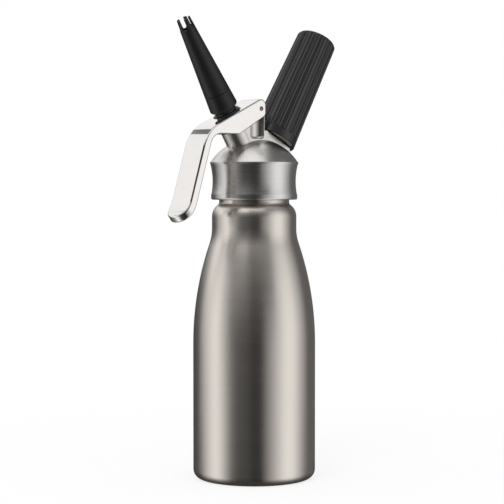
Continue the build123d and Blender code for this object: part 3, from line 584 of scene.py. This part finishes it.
# %% Turned aluminium
# A finishing cut leaves lines about 0.1 mm apart. They are drawn 0.5 mm apart so that they show.
LATHE_LINE = 0.5
LATHE_RUN = 60.0
LATHE_DEPTH = 0.04
LATHE_BUMP = 0.08
COLLAR_DARK = "#d6d4d2"
COLLAR_LIGHT = "#e2e0de"
COLLAR_ROUGHNESS = (0.24, 0.34)
COLLAR_STREAK = 0.5

turned_aluminium = empty_material("satin_turned_aluminium")
tree = turned_aluminium.node_tree
place = add_node(tree, "ShaderNodeTexCoord")
along = per_metre(LATHE_RUN)
stretched = add_node(
    tree, "ShaderNodeMapping",
    {"Vector": place.outputs["Object"], "Scale": (along, along, per_metre(LATHE_LINE))},
)
lathe_lines = add_node(
    tree, "ShaderNodeTexNoise",
    {"Vector": stretched.outputs[0], "Scale": UNSCALED, "Detail": FINE_DETAIL},
)
collar_colour = add_node(
    tree, "ShaderNodeMix",
    {
        MIX_SHARE: lathe_lines.outputs["Fac"],
        MIX_FIRST: linear(COLLAR_DARK),
        MIX_SECOND: linear(COLLAR_LIGHT),
    },
    data_type="RGBA",
)
collar_roughness = add_node(
    tree, "ShaderNodeMapRange",
    {"Value": lathe_lines.outputs["Fac"], "To Min": COLLAR_ROUGHNESS[0], "To Max": COLLAR_ROUGHNESS[1]},
)
lathe_bump = add_node(
    tree, "ShaderNodeBump",
    {"Height": lathe_lines.outputs["Fac"], "Strength": LATHE_BUMP, "Distance": LATHE_DEPTH * MM},
)
around = add_node(tree, "ShaderNodeTangent", direction_type="RADIAL", axis="Z")
collar_metal = add_node(
    tree, "ShaderNodeBsdfPrincipled",
    {
        "Base Color": collar_colour.outputs[MIX_RESULT],
        "Metallic": BARE_METAL,
        "Roughness": collar_roughness.outputs[0],
        "Anisotropic": COLLAR_STREAK,
        "Anisotropic Rotation": STREAK_TURN,
        "Tangent": around.outputs[0],
        "Normal": lathe_bump.outputs[0],
    },
)
add_node(tree, "ShaderNodeOutputMaterial", {"Surface": collar_metal.outputs[0]})
print(turned_aluminium.name, "with lines", LATHE_LINE, "mm apart")

# %% [markdown]
# ## Polished stainless steel, for the lever
# The lever is pressed from sheet and buffed on a cloth wheel until it's a mirror. A perfect mirror
# looks computer-made, so a faint haze from the buffing and very shallow waves from the pressing are
# added: edges and cards reflected in it then wobble a little, as they do on the real one.

# %% Polished steel
# Patches of haze and waves of the sheet are as wide as on real pressings, in millimetres.
BUFFING_HAZE = 9.0
HAZE_DETAIL = 4.0
PRESSING_WAVE = 22.0
WAVE_DETAIL = 1.0
WAVE_DEPTH = 0.1
WAVE_BUMP = 0.2
LEVER_DARK = "#e7e4e2"
LEVER_LIGHT = "#eeebe9"
LEVER_ROUGHNESS = (0.04, 0.08)

polished_steel = empty_material("buffed_stainless_steel")
tree = polished_steel.node_tree
place = add_node(tree, "ShaderNodeTexCoord")
haze = add_node(
    tree, "ShaderNodeTexNoise",
    {"Vector": place.outputs["Object"], "Scale": per_metre(BUFFING_HAZE), "Detail": HAZE_DETAIL},
)
waves = add_node(
    tree, "ShaderNodeTexNoise",
    {"Vector": place.outputs["Object"], "Scale": per_metre(PRESSING_WAVE), "Detail": WAVE_DETAIL},
)
lever_colour = add_node(
    tree, "ShaderNodeMix",
    {MIX_SHARE: haze.outputs["Fac"], MIX_FIRST: linear(LEVER_DARK), MIX_SECOND: linear(LEVER_LIGHT)},
    data_type="RGBA",
)
lever_roughness = add_node(
    tree, "ShaderNodeMapRange",
    {"Value": haze.outputs["Fac"], "To Min": LEVER_ROUGHNESS[0], "To Max": LEVER_ROUGHNESS[1]},
)
wave_bump = add_node(
    tree, "ShaderNodeBump",
    {"Height": waves.outputs["Fac"], "Strength": WAVE_BUMP, "Distance": WAVE_DEPTH * MM},
)
lever_metal = add_node(
    tree, "ShaderNodeBsdfPrincipled",
    {
        "Base Color": lever_colour.outputs[MIX_RESULT],
        "Metallic": BARE_METAL,
        "Roughness": lever_roughness.outputs[0],
        "Normal": wave_bump.outputs[0],
    },
)
add_node(tree, "ShaderNodeOutputMaterial", {"Surface": lever_metal.outputs[0]})
print(polished_steel.name, "with haze patches of", BUFFING_HAZE, "mm")

# %% [markdown]
# ## Black ABS, for the charger holder
# The holder is moulded in ABS that is dyed black all through. Its mould was spark-eroded, which leaves
# a fine grain under a soft shine, so the ridges of the flutes catch thin lights. Pure black would
# hide the flutes, so the colour is a very dark grey that varies with the grain.

# %% Moulded ABS
# Spark grain is about 0.15 mm. It is drawn 0.5 mm wide so that it shows.
SPARK_GRAIN = 0.5
GRAIN_DEPTH = 0.05
GRAIN_BUMP = 0.12
ABS_DARK = "#171718"
ABS_LIGHT = "#202021"
ABS_ROUGHNESS = (0.20, 0.28)
ABS_IOR = 1.53

grained_abs = empty_material("grained_black_abs")
tree = grained_abs.node_tree
place = add_node(tree, "ShaderNodeTexCoord")
grain = add_node(
    tree, "ShaderNodeTexNoise",
    {"Vector": place.outputs["Object"], "Scale": per_metre(SPARK_GRAIN), "Detail": FINE_DETAIL},
)
abs_colour = add_node(
    tree, "ShaderNodeMix",
    {MIX_SHARE: grain.outputs["Fac"], MIX_FIRST: linear(ABS_DARK), MIX_SECOND: linear(ABS_LIGHT)},
    data_type="RGBA",
)
abs_roughness = add_node(
    tree, "ShaderNodeMapRange",
    {"Value": grain.outputs["Fac"], "To Min": ABS_ROUGHNESS[0], "To Max": ABS_ROUGHNESS[1]},
)
grain_bump = add_node(
    tree, "ShaderNodeBump",
    {"Height": grain.outputs["Fac"], "Strength": GRAIN_BUMP, "Distance": GRAIN_DEPTH * MM},
)
abs_plastic = add_node(
    tree, "ShaderNodeBsdfPrincipled",
    {
        "Base Color": abs_colour.outputs[MIX_RESULT],
        "Roughness": abs_roughness.outputs[0],
        "IOR": ABS_IOR,
        "Normal": grain_bump.outputs[0],
    },
)
add_node(tree, "ShaderNodeOutputMaterial", {"Surface": abs_plastic.outputs[0]})
print(grained_abs.name, "with a grain of", SPARK_GRAIN, "mm")

# %% [markdown]
# ## Black polypropylene, for the nozzle
# The nozzle is moulded in polypropylene, a softer and slightly waxier plastic than ABS, so its sheen is
# duller and broader. The surface blooms in faint patches where the plastic cooled. One noise could
# do for both plastics, but bloom and grain differ in size, so each gets its own here.

# %% Moulded polypropylene
# Mould grain is about 0.1 mm. It is drawn 0.4 mm wide so that it shows. Bloom has its real size.
MOULD_BLOOM = 11.0
BLOOM_DETAIL = 3.0
MOULD_GRAIN = 0.4
MOULD_DETAIL = 1.0
MOULD_DEPTH = 0.03
MOULD_BUMP = 0.12
NOZZLE_DARK = "#0d0d0e"
NOZZLE_LIGHT = "#131314"
NOZZLE_ROUGHNESS = (0.38, 0.50)
POLYPROPYLENE_IOR = 1.49

waxy_polypropylene = empty_material("moulded_black_polypropylene")
tree = waxy_polypropylene.node_tree
place = add_node(tree, "ShaderNodeTexCoord")
bloom = add_node(
    tree, "ShaderNodeTexNoise",
    {"Vector": place.outputs["Object"], "Scale": per_metre(MOULD_BLOOM), "Detail": BLOOM_DETAIL},
)
grain = add_node(
    tree, "ShaderNodeTexNoise",
    {"Vector": place.outputs["Object"], "Scale": per_metre(MOULD_GRAIN), "Detail": MOULD_DETAIL},
)
nozzle_colour = add_node(
    tree, "ShaderNodeMix",
    {MIX_SHARE: bloom.outputs["Fac"], MIX_FIRST: linear(NOZZLE_DARK), MIX_SECOND: linear(NOZZLE_LIGHT)},
    data_type="RGBA",
)
nozzle_roughness = add_node(
    tree, "ShaderNodeMapRange",
    {"Value": bloom.outputs["Fac"], "To Min": NOZZLE_ROUGHNESS[0], "To Max": NOZZLE_ROUGHNESS[1]},
)
grain_bump = add_node(
    tree, "ShaderNodeBump",
    {"Height": grain.outputs["Fac"], "Strength": MOULD_BUMP, "Distance": MOULD_DEPTH * MM},
)
nozzle_plastic = add_node(
    tree, "ShaderNodeBsdfPrincipled",
    {
        "Base Color": nozzle_colour.outputs[MIX_RESULT],
        "Roughness": nozzle_roughness.outputs[0],
        "IOR": POLYPROPYLENE_IOR,
        "Normal": grain_bump.outputs[0],
    },
)
add_node(tree, "ShaderNodeOutputMaterial", {"Surface": nozzle_plastic.outputs[0]})
print(waxy_polypropylene.name, "with bloom patches of", MOULD_BLOOM, "mm")

# %% [markdown]
# ## The small parts' finishes
# Most of these pieces are seen only when the whipper is taken apart: turned stainless, drawn spring
# wire, a zinc-plated gas charger, bearing bronze, black oxide on the nozzle adapter, the same black
# on the charger stud as painted shade for the slit under the holder, and rubber seals. They differ in
# colour, roughness and the size of their marks, but are built alike, so one table and one loop make
# them: a noise of the right size varies the colour and the roughness and gives a light bump.

# %% Table of small finishes
# name: dark colour, light colour, metallic, least roughness, most roughness, mark size in mm, bump
# Real tool marks and mould grain are 0.05 to 0.2 mm wide. They are drawn coarser so that they show.
# Black oxide is a mineral skin on the steel, so to the eye it's a dull black and not a metal.
SMALL_FINISHES = {
    "turned_stainless_steel": ("#c4c1bd", "#d8d5d1", 1.0, 0.18, 0.32, 0.5, 0.10),
    "drawn_spring_steel": ("#a9a8a6", "#c3c2bf", 1.0, 0.20, 0.32, 0.6, 0.10),
    "zinc_plated_steel": ("#b9bcbf", "#d3d5d7", 1.0, 0.20, 0.38, 2.4, 0.06),
    "turned_bronze": ("#a9803f", "#c39a55", 1.0, 0.25, 0.38, 0.5, 0.10),
    # On the charger stud this black is painted shade, for the slit under the holder.
    "black_oxide_and_painted_shade": ("#0d0c0c", "#131211", 0.0, 0.40, 0.52, 0.7, 0.10),
    "moulded_black_rubber": ("#171717", "#202020", 0.0, 0.58, 0.74, 0.6, 0.16),
    "moulded_red_silicone": ("#bf5a4b", "#cb6a5a", 0.0, 0.48, 0.62, 1.0, 0.10),
}
SMALL_IOR = {"black_oxide_and_painted_shade": 1.6, "moulded_black_rubber": 1.52, "moulded_red_silicone": 1.41}
MARK_DEPTH = 0.05
print(len(SMALL_FINISHES), "finishes in the table,", len(SMALL_IOR), "of them with an IOR")

# %% Small finishes
small_finishes = {}
for name, (dark, light, metallic, least, most, mark, bump) in SMALL_FINISHES.items():
    material = empty_material(name)
    tree = material.node_tree
    place = add_node(tree, "ShaderNodeTexCoord")
    marks = add_node(
        tree, "ShaderNodeTexNoise",
        {"Vector": place.outputs["Object"], "Scale": per_metre(mark), "Detail": FINE_DETAIL},
    )
    colour = add_node(
        tree, "ShaderNodeMix",
        {MIX_SHARE: marks.outputs["Fac"], MIX_FIRST: linear(dark), MIX_SECOND: linear(light)},
        data_type="RGBA",
    )
    spread = add_node(
        tree, "ShaderNodeMapRange", {"Value": marks.outputs["Fac"], "To Min": least, "To Max": most}
    )
    dimples = add_node(
        tree, "ShaderNodeBump",
        {"Height": marks.outputs["Fac"], "Strength": bump, "Distance": MARK_DEPTH * MM},
    )
    shader = add_node(
        tree, "ShaderNodeBsdfPrincipled",
        {
            "Base Color": colour.outputs[MIX_RESULT],
            "Metallic": metallic,
            "Roughness": spread.outputs[0],
            "Normal": dimples.outputs[0],
        },
    )
    if name in SMALL_IOR:
        shader.inputs["IOR"].default_value = SMALL_IOR[name]
    add_node(tree, "ShaderNodeOutputMaterial", {"Surface": shader.outputs[0]})
    small_finishes[name] = material
print(len(small_finishes), "finishes for small parts")

# %% [markdown]
# ## Dressing the CAD pieces
# Most CAD pieces already have the right shape with rounded edges, so there is no need to model them
# again. They keep their mesh, and each one's material slots are filled with its finish.

# %% Finishes on the CAD pieces
turned_steel = small_finishes["turned_stainless_steel"]
rubber = small_finishes["moulded_black_rubber"]
node_finish = {
    "bottle": brushed_steel,
    "collar_ring": turned_aluminium,
    "head_casting": blasted_aluminium,
    "lever": polished_steel,
    "decorating_nozzle": waxy_polypropylene,
    "charger_sleeve": grained_abs,
    "head_gasket": small_finishes["moulded_red_silicone"],
    "pivot_bush": small_finishes["turned_bronze"],
    "charger_capsule": small_finishes["zinc_plated_steel"],
}
for name in ("valve_stem", "spring_collar", "piercing_pin", "pin_screw", "sleeve_insert"):
    node_finish[name] = turned_steel
for name in ("valve_seal", "stem_o_ring", "nozzle_seal", "stud_seal", "inlet_valve", "charger_gasket"):
    node_finish[name] = rubber
for name, finish in node_finish.items():
    for material_slot in nodes[name].material_slots:
        material_slot.material = finish
print(len(node_finish), "CAD pieces dressed")

# %% [markdown]
# ## Axes of the head
# The nozzle leans to one side and the charger holder to the other. Pieces that sit on one of these
# axes are turned about it, so an axis is a point and three directions. These could be typed in, but
# each of the pieces also turns on its axis when it's unscrewed, so the frame's own joints say where
# the axes are. Where a piece starts and ends is measured on the CAD piece that it stands for.

# %% Axes
joints = {joint["name"]: joint for joint in frame["record"]["behaviour"]["joints"]}


def joint_axis(name):
    """A point on a joint's axis, and the directions along, to the side of and across that axis."""
    along = np.array(joints[name]["axis"], dtype=float)
    # The bottle, the nozzle and the holder all stand in the plane of x and z, so y lies across them.
    across = np.array([0.0, 1.0, 0.0])
    return np.array(joints[name]["pos_m"], dtype=float), along, np.cross(across, along), across


def reach_on(axis, name):
    """Lowest and highest station of a CAD piece on an axis, in millimetres."""
    origin, along = axis[:2]
    points = np.array([vertex.co for vertex in nodes[name].data.vertices])
    stations = (points - origin) @ along / MM
    return stations.min(), stations.max()


BOTTLE_AXIS = joint_axis("head_turn")
VALVE_AXIS = joint_axis("nozzle_turn")
CHARGER_AXIS = joint_axis("holder_turn")
print("spring between", [round(float(value), 2) for value in reach_on(VALVE_AXIS, "valve_spring")])

# %% [markdown]
# ## Screw threads
# A thread is a ridge that climbs by one pitch in each turn. The CAD pieces have closed rings in its
# place, which is enough for size and collision. A screw modifier could wind a profile, but its ends
# stay open, so here a closed outline is turned about the axis and its thread part is shifted along as
# it goes round. The ridge fades in and out at both ends, as a cut thread does.

# %% Thread maker
TURN_STEPS = 112
THREAD_SAMPLES = 10
# The flat top and the flank of a ridge are shares of half a pitch, and its fading ends of a pitch.
RIDGE_TOP = 0.30
RIDGE_FLANK = 0.42
FADE_SHARE = 0.6


def ridge(phase):
    """Height of a rounded thread ridge, 0 to 1, at a share of the pitch."""
    away = np.abs(phase - np.floor(phase) - 0.5) * 2
    return step(-away, -(RIDGE_TOP + RIDGE_FLANK), -RIDGE_TOP)


def turned_outline(name, axis, outline, thread):
    """Turn a closed outline of (radius, station) points, with a thread after its first points."""
    before, after = outline
    root, depth, pitch, low, high = thread
    stations = np.linspace(low, high, max(2, int((high - low) / pitch * THREAD_SAMPLES)))
    fade = np.clip(np.minimum(stations - low, high - stations) / (FADE_SHARE * pitch), 0, 1)
    angles = np.linspace(0, 2 * pi, TURN_STEPS, endpoint=False)
    origin, along, side, across = axis
    rows = []
    for angle in angles:
        radii = root + depth * fade * ridge((stations - low) / pitch - angle / (2 * pi))
        section = np.array([*before, *zip(radii, stations), *after]) * MM
        outward = side * cos(angle) + across * sin(angle)
        rows.append(origin + section[:, 1:] * along + section[:, :1] * outward)
    mesh = grid_mesh(name, np.array(rows), close_rows=True, close_columns=True)
    weld(mesh)
    return add_object(name, mesh)


def stand_for(piece, node, body, finish):
    """Let a piece take a CAD node's place on its body, with this finish."""
    piece.data.materials.append(finish)
    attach(piece, body)
    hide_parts(node)


print("a thread turn has", TURN_STEPS, "steps")

# %% [markdown]
# ## The neck ring
# A threaded steel ring sits in the bottle's mouth, and the head screws onto it. A boolean could cut
# it from a cylinder, but that leaves ragged faces along the thread. Its section is simple, so it is
# written as an outline: bore, step for the bottle's wall, root of the thread, and chamfers.

# %% Neck ring
RING_BORE = 20.5
RING_ROOT = 23.5
RING_DEPTH = 0.9
RING_PITCH = 3.0
RING_THREAD = 13.5
RING_CHAMFER = 0.5
RING_SINK = 4.0
SHELL_WALL = 1.2
# A thread runs out this many chamfers before the end of its piece.
RUN_OUT = 1.2
ring_low, ring_high = reach_on(BOTTLE_AXIS, "neck_ring")
neck_thread = turned_outline(
    "neck_thread_ring",
    BOTTLE_AXIS,
    (
        [
            (RING_BORE, ring_low),
            (RING_ROOT - SHELL_WALL, ring_low),
            (RING_ROOT - SHELL_WALL, ring_low + RING_SINK),
            (RING_ROOT, ring_low + RING_SINK),
        ],
        [
            (RING_ROOT, ring_high - RING_CHAMFER),
            (RING_ROOT - RING_CHAMFER, ring_high),
            (RING_BORE + RING_CHAMFER, ring_high),
            (RING_BORE, ring_high - RING_CHAMFER),
        ],
    ),
    (RING_ROOT, RING_DEPTH, RING_PITCH, ring_high - RING_THREAD, ring_high - RING_CHAMFER * RUN_OUT),
)
stand_for(neck_thread, "neck_ring", "bottle", turned_steel)
print("neck ring from", round(float(ring_low), 1), "to", round(float(ring_high), 1), "mm")

# %% [markdown]
# ## The nozzle adapter
# The adapter joins the valve and the nozzle: a black flange that the lever cradles, a short neck under
# the seal, and a threaded spigot. It's turned from one bar, so one outline describes all of it. A
# bevel modifier could break the flange's edges, but two more points in the outline do it exactly.

# %% Nozzle adapter
ADAPTER_BORE = 3.25
FLANGE_RADIUS = 9.0
FLANGE_THICKNESS = 2.3
FLANGE_EDGE = 0.35
NECK_RADIUS = 7.2
NECK_LENGTH = 1.4
# The seal lies on the neck. A hair of room keeps the two faces out of one plane.
SEAL_ROOM = 0.02
SPIGOT_ROOT = 5.2
SPIGOT_DEPTH = 0.5
SPIGOT_PITCH = 1.5
SPIGOT_START = 1.2
# The adapter's own black oxide, which the charger stud also takes as painted shade.
oxide_black_and_painted_shade = small_finishes["black_oxide_and_painted_shade"]
adapter_low, adapter_high = reach_on(VALVE_AXIS, "nozzle_adapter")
flange_top = adapter_low + FLANGE_THICKNESS
neck_top = flange_top + NECK_LENGTH - SEAL_ROOM
spigot_low = neck_top + SPIGOT_START
spigot_high = adapter_high - FLANGE_EDGE * RUN_OUT
adapter = turned_outline(
    "nozzle_adapter_thread",
    VALVE_AXIS,
    (
        [
            (ADAPTER_BORE, adapter_low),
            (FLANGE_RADIUS - FLANGE_EDGE, adapter_low),
            (FLANGE_RADIUS, adapter_low + FLANGE_EDGE),
            (FLANGE_RADIUS, flange_top - FLANGE_EDGE),
            (FLANGE_RADIUS - FLANGE_EDGE, flange_top),
            (NECK_RADIUS, flange_top),
            (NECK_RADIUS, neck_top),
            (SPIGOT_ROOT, neck_top),
        ],
        [
            (SPIGOT_ROOT, adapter_high - FLANGE_EDGE),
            (SPIGOT_ROOT - FLANGE_EDGE, adapter_high),
            (ADAPTER_BORE, adapter_high),
        ],
    ),
    (SPIGOT_ROOT, SPIGOT_DEPTH, SPIGOT_PITCH, spigot_low, spigot_high),
)
stand_for(adapter, "nozzle_adapter", "valve", oxide_black_and_painted_shade)
print("adapter from", round(float(adapter_low), 1), "to", round(float(adapter_high), 1), "mm on its axis")

# %% [markdown]
# ## The charger stud
# The stud screws into the head with its smooth foot, which has a groove for an O-ring. The holder
# screws onto its thread, and the cup in its end takes the neck of the charger. The stud is black as
# painted shade: the slit under the holder lies in shade, and a black stud keeps it dark. It's another
# turned outline: the cup and the needle's bore are simply its inner side.

# %% Charger stud
STUD_CORE = 3.0
STUD_FOOT = 6.0
STUD_FOOT_LENGTH = 11.5
SEAL_SETBACK = 3.0
SEAL_RADIUS = 0.9
STUD_NECK = 10.0
STUD_NECK_LENGTH = 2.5
STUD_ROOT = 10.4
STUD_DEPTH = 0.5
STUD_PITCH = 1.5
STUD_CHAMFER = 0.4
CUP_RADIUS = 4.9
CUP_DEPTH = 8.5
NEEDLE_BORE = 1.25
NEEDLE_FLANGE_RISE = 1.5
stud_low, stud_high = reach_on(CHARGER_AXIS, "charger_stud")
stud_seat = stud_low + STUD_FOOT_LENGTH
groove = stud_seat - SEAL_SETBACK
neck_end = stud_seat + STUD_NECK_LENGTH
cup_floor = stud_high - CUP_DEPTH
stud = turned_outline(
    "charger_stud_thread",
    CHARGER_AXIS,
    (
        [
            (STUD_CORE, stud_low),
            (STUD_FOOT, stud_low),
            (STUD_FOOT, groove - SEAL_RADIUS),
            (STUD_FOOT - 2 * SEAL_RADIUS, groove - SEAL_RADIUS),
            (STUD_FOOT - 2 * SEAL_RADIUS, groove + SEAL_RADIUS),
            (STUD_FOOT, groove + SEAL_RADIUS),
            (STUD_FOOT, stud_seat),
            (STUD_NECK, stud_seat),
            (STUD_NECK, neck_end),
            (STUD_ROOT, neck_end),
        ],
        [
            (STUD_ROOT, stud_high - STUD_CHAMFER),
            (STUD_ROOT - STUD_CHAMFER, stud_high),
            (CUP_RADIUS + STUD_CHAMFER, stud_high),
            (CUP_RADIUS, stud_high - STUD_CHAMFER),
            (CUP_RADIUS, cup_floor),
            (NEEDLE_BORE, cup_floor),
            (NEEDLE_BORE, stud_seat + NEEDLE_FLANGE_RISE),
            (STUD_CORE, stud_seat + NEEDLE_FLANGE_RISE),
        ],
    ),
    (STUD_ROOT, STUD_DEPTH, STUD_PITCH, neck_end + STUD_CHAMFER, stud_high - STUD_CHAMFER * RUN_OUT),
)
# The stud's black is painted shade, which keeps the slit under the holder dark.
stand_for(stud, "charger_stud", "head", oxide_black_and_painted_shade)
print("stud from", round(float(stud_low), 1), "to", round(float(stud_high), 1), "mm on its axis")

# %% [markdown]
# ## The pivot pin
# The lever turns on a pin whose ends are seen as small rings in the cheeks: a narrow groove is turned
# around a slightly domed middle, so the middle catches light and the deep groove stays dark. A plain
# cylinder would show a flat disc, so an outline with that groove is turned about the pin's axis.

# %% Pivot pin
PIN_CHAMFER = 0.15
PIN_RIM = 0.2
GROOVE_WIDTH = 0.7
GROOVE_DEPTH = 2.2
# The middle drops a little at this share of its radius, and more at its edge.
DOME_SHARE = 0.6
DOME_DROP = 0.06
DOME_EDGE_DROP = 0.24
PIN_STEPS = 48
pin_box_low, pin_box_high = (np.array(corner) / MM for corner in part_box("lever_pin"))
pin_middle = (pin_box_low + pin_box_high) / 2
pin_half = (pin_box_high[1] - pin_box_low[1]) / 2
pin_radius = (pin_box_high[2] - pin_box_low[2]) / 2
groove_outer = pin_radius - PIN_CHAMFER - PIN_RIM
groove_inner = groove_outer - GROOVE_WIDTH
pin_end = [
    (0.0, pin_half),
    (groove_inner * DOME_SHARE, pin_half - DOME_DROP),
    (groove_inner, pin_half - DOME_EDGE_DROP),
    (groove_inner, pin_half - GROOVE_DEPTH),
    (groove_outer, pin_half - GROOVE_DEPTH),
    (groove_outer, pin_half),
    (pin_radius - PIN_CHAMFER, pin_half),
    (pin_radius, pin_half - PIN_CHAMFER),
]
pin_outline = np.array(pin_end + [(radius, -station) for radius, station in reversed(pin_end)])
pin_angles = np.linspace(0, 2 * pi, PIN_STEPS, endpoint=False)
pin_points = np.zeros((PIN_STEPS, len(pin_outline), 3))
pin_points[..., 0] = pin_middle[0] + pin_outline[:, 0] * np.cos(pin_angles)[:, None]
pin_points[..., 1] = pin_middle[1] + pin_outline[:, 1]
pin_points[..., 2] = pin_middle[2] + pin_outline[:, 0] * np.sin(pin_angles)[:, None]
pin_mesh = grid_mesh("grooved_pivot_pin", pin_points * MM, close_rows=True)
weld(pin_mesh)
pin = add_object("grooved_pivot_pin", pin_mesh)
stand_for(pin, "lever_pin", "lever", turned_steel)
print("pin", round(float(2 * pin_half), 1), "mm long,", round(float(2 * pin_radius), 2), "mm thick")

# %% [markdown]
# ## The valve spring
# A compression spring has one closed turn at each end so that it stands square, and open turns
# between. A curve with a round bevel would draw it quickly, but the spring has to shorten when the
# lever is squeezed, which needs a mesh, so rings of wire points are set along the helix.

# %% Spring wire
SPRING_RADIUS = 4.05
SPRING_TURNS = 5.5
STEPS_PER_TURN = 40
WIRE_RADIUS = 0.45
WIRE_STEPS = 12
CLOSED_TURNS = 0.9
# A closed turn climbs by a hair more than the wire is thick, given here in wire radii.
CLOSED_CLIMB = 2.1
spring_low, spring_high = reach_on(VALVE_AXIS, "valve_spring")
wire_low = spring_low + WIRE_RADIUS
wire_high = spring_high - WIRE_RADIUS
closed_rise = CLOSED_CLIMB * WIRE_RADIUS * CLOSED_TURNS
turns = np.linspace(0, SPRING_TURNS, int(SPRING_TURNS * STEPS_PER_TURN) + 1)
turn_stops = [0, CLOSED_TURNS, SPRING_TURNS - CLOSED_TURNS, SPRING_TURNS]
height_stops = [wire_low, wire_low + closed_rise, wire_high - closed_rise, wire_high]
heights = np.interp(turns, turn_stops, height_stops)
origin, along, side, across = VALVE_AXIS
bearing = 2 * pi * turns[:, None]
outward = side * np.cos(bearing) + across * np.sin(bearing)
wire_path = origin + heights[:, None] * MM * along + SPRING_RADIUS * MM * outward
wire_angles = np.linspace(0, 2 * pi, WIRE_STEPS, endpoint=False)
wire_out = np.cos(wire_angles)[None, :, None] * outward[:, None, :]
wire_up = np.sin(wire_angles)[None, :, None] * along
wire_points = wire_path[:, None, :] + WIRE_RADIUS * MM * (wire_out + wire_up)
print("wire of", len(turns), "rings in", SPRING_TURNS, "turns")

# %% Spring mesh
spring_mesh = grid_mesh("wound_valve_spring", wire_points, close_columns=True)
weld(spring_mesh, fill_ends=True)
spring = add_object("wound_valve_spring", spring_mesh)
stand_for(spring, "valve_spring", "head", small_finishes["drawn_spring_steel"])
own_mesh(spring)

# %% [markdown]
# ## Size and finish
# ## The last update
# they can be compared, and the last line hands the scene over.

# %% Last update
bpy.context.view_layer.update()
